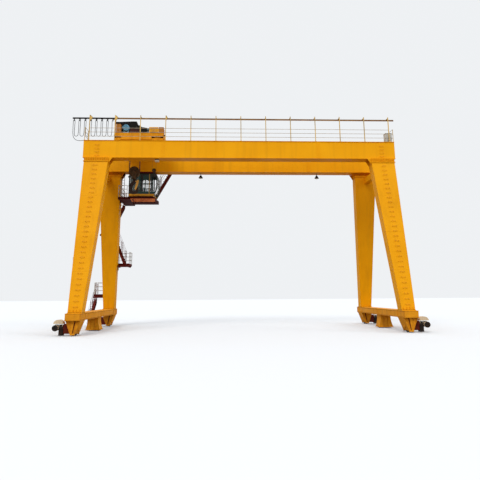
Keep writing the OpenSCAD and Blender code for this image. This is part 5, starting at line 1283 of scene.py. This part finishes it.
# Stairs. Five flights behind the far left leg, with flat stringers, worn treads and hand
# rails in dark red; landings with gratings and grey railings lie between them.
repaint(mottled("stair_paint", (118, 44, 36), (84, 28, 24), (4, 5), 0.4, 0.7, (60,), 0.001, 0.65,
                Specular_IOR_Level=0.1), "stair_flights")
repaint(maroon, "stair_landings")
repaint(galvanised, "platform_railing", "landing_railing")
lane_width = 0.62
mesh = bmesh.new()
for xa, za, xb, zb, lane, steps in (
    (-14.3, 0.26, -13.64, 2.9, 5.95, 12), (-12.76, 2.9, -11.56, 5.73, 5.3, 12),
    (-10.7, 5.73, -11.9, 8.57, 4.65, 12), (-12.22, 8.57, -10.9, 11.44, 4, 12), (-8.2, 11.44, -5.98, 15.4, 3.35, 16),
):
    y0, y1 = lane + 0.05, lane + lane_width - 0.05
    for x, z in ((xa + (xb - xa) * i / steps, za + (zb - za) * i / steps) for i in range(steps)):
        for nosing in (x - 0.075, x + 0.075):
            block(mesh, (nosing - 0.008, y0, z - 0.022), (nosing + 0.008, y1, z + 0.003))
        for y in (y0 + 0.06 + k * 0.1 for k in range(5)):
            block(mesh, (x - 0.08, y, z - 0.001), (x + 0.08, y + 0.008, z + 0.003))
        for y in (y0 - 0.022, y1 + 0.014):
            block(mesh, (x - 0.07, y, z - 0.04), (x + 0.07, y + 0.008, z - 0.002))
piece("tread_edges", mesh, maroon)
mesh, plates = bmesh.new(), bmesh.new()
for x0, x1, y0, y1, z in ((-13.64, -12.3, 5.3, 6.57, 2.9), (-11.56, -10.3, 4.65, 5.92, 5.73),
                          (-12.95, -11.9, 4, 5.27, 8.57), (-5.98, -4.9, 2.72, 3.97, 15.4)):
    grating(mesh, x0 + 0.02, x1 - 0.02, y0 + 0.02, y1 - 0.02, z)
    for y in (y0 + 0.15 + k * (y1 - y0 - 0.3) / 2 for k in range(3)):
        block(plates, (x0 + 0.01, y - 0.004, z - 0.24), (x1 - 0.01, y + 0.004, z - 0.178))
    for y in (y0 + 0.003, y1 - 0.003):
        block(plates, (x0 + 0.02, y - 0.003, z - 0.005), (x1 - 0.02, y + 0.003, z + 0.016))
piece("landing_gratings", mesh, galvanised)
piece("landing_edges", plates, maroon)

# Lamps. Two bell lamps hang under the far girder, white inside with a bulb glass, and a
# pale flood lamp with cooling ribs hangs under the near girder.
repaint(hood_black, "lamps")
white_enamel = paint("white_enamel", (226, 224, 214), (206, 202, 190), (160, 150, 130), 0.3, 0.2)
bell = [(0, 0.03), (0.15, 0.03), (0.2, -0.002), (0.206, -0.004), (0.196, -0.008), (0.146, 0.02), (0.075, 0.018),
        (0.07, -0.03), (0.04, -0.065), (0, -0.072)]
mesh = bmesh.new()
for x in (-3.56, 7.3):
    lathe(mesh, bell, (x, girder_y, 13.44), (0, 0, 1))
piece("bell_glasses", mesh, white_enamel, smooth=40)
mesh = bmesh.new()
flood = Vector((-7, -girder_y, 13.71))
block(mesh, flood + Vector((-0.165, -0.15, -0.006)), flood + Vector((0.165, 0.145, 0.12)))
block(mesh, flood + Vector((-0.14, -0.158, 0.012)), flood + Vector((0.14, -0.149, 0.1)))
for x in (-0.13 + i * 0.037 for i in range(8)):
    block(mesh, flood + Vector((x, -0.12, 0.118)), flood + Vector((x + 0.008, 0.12, 0.15)))
rounded(piece("flood_lamp", mesh, white_enamel), 0.008)
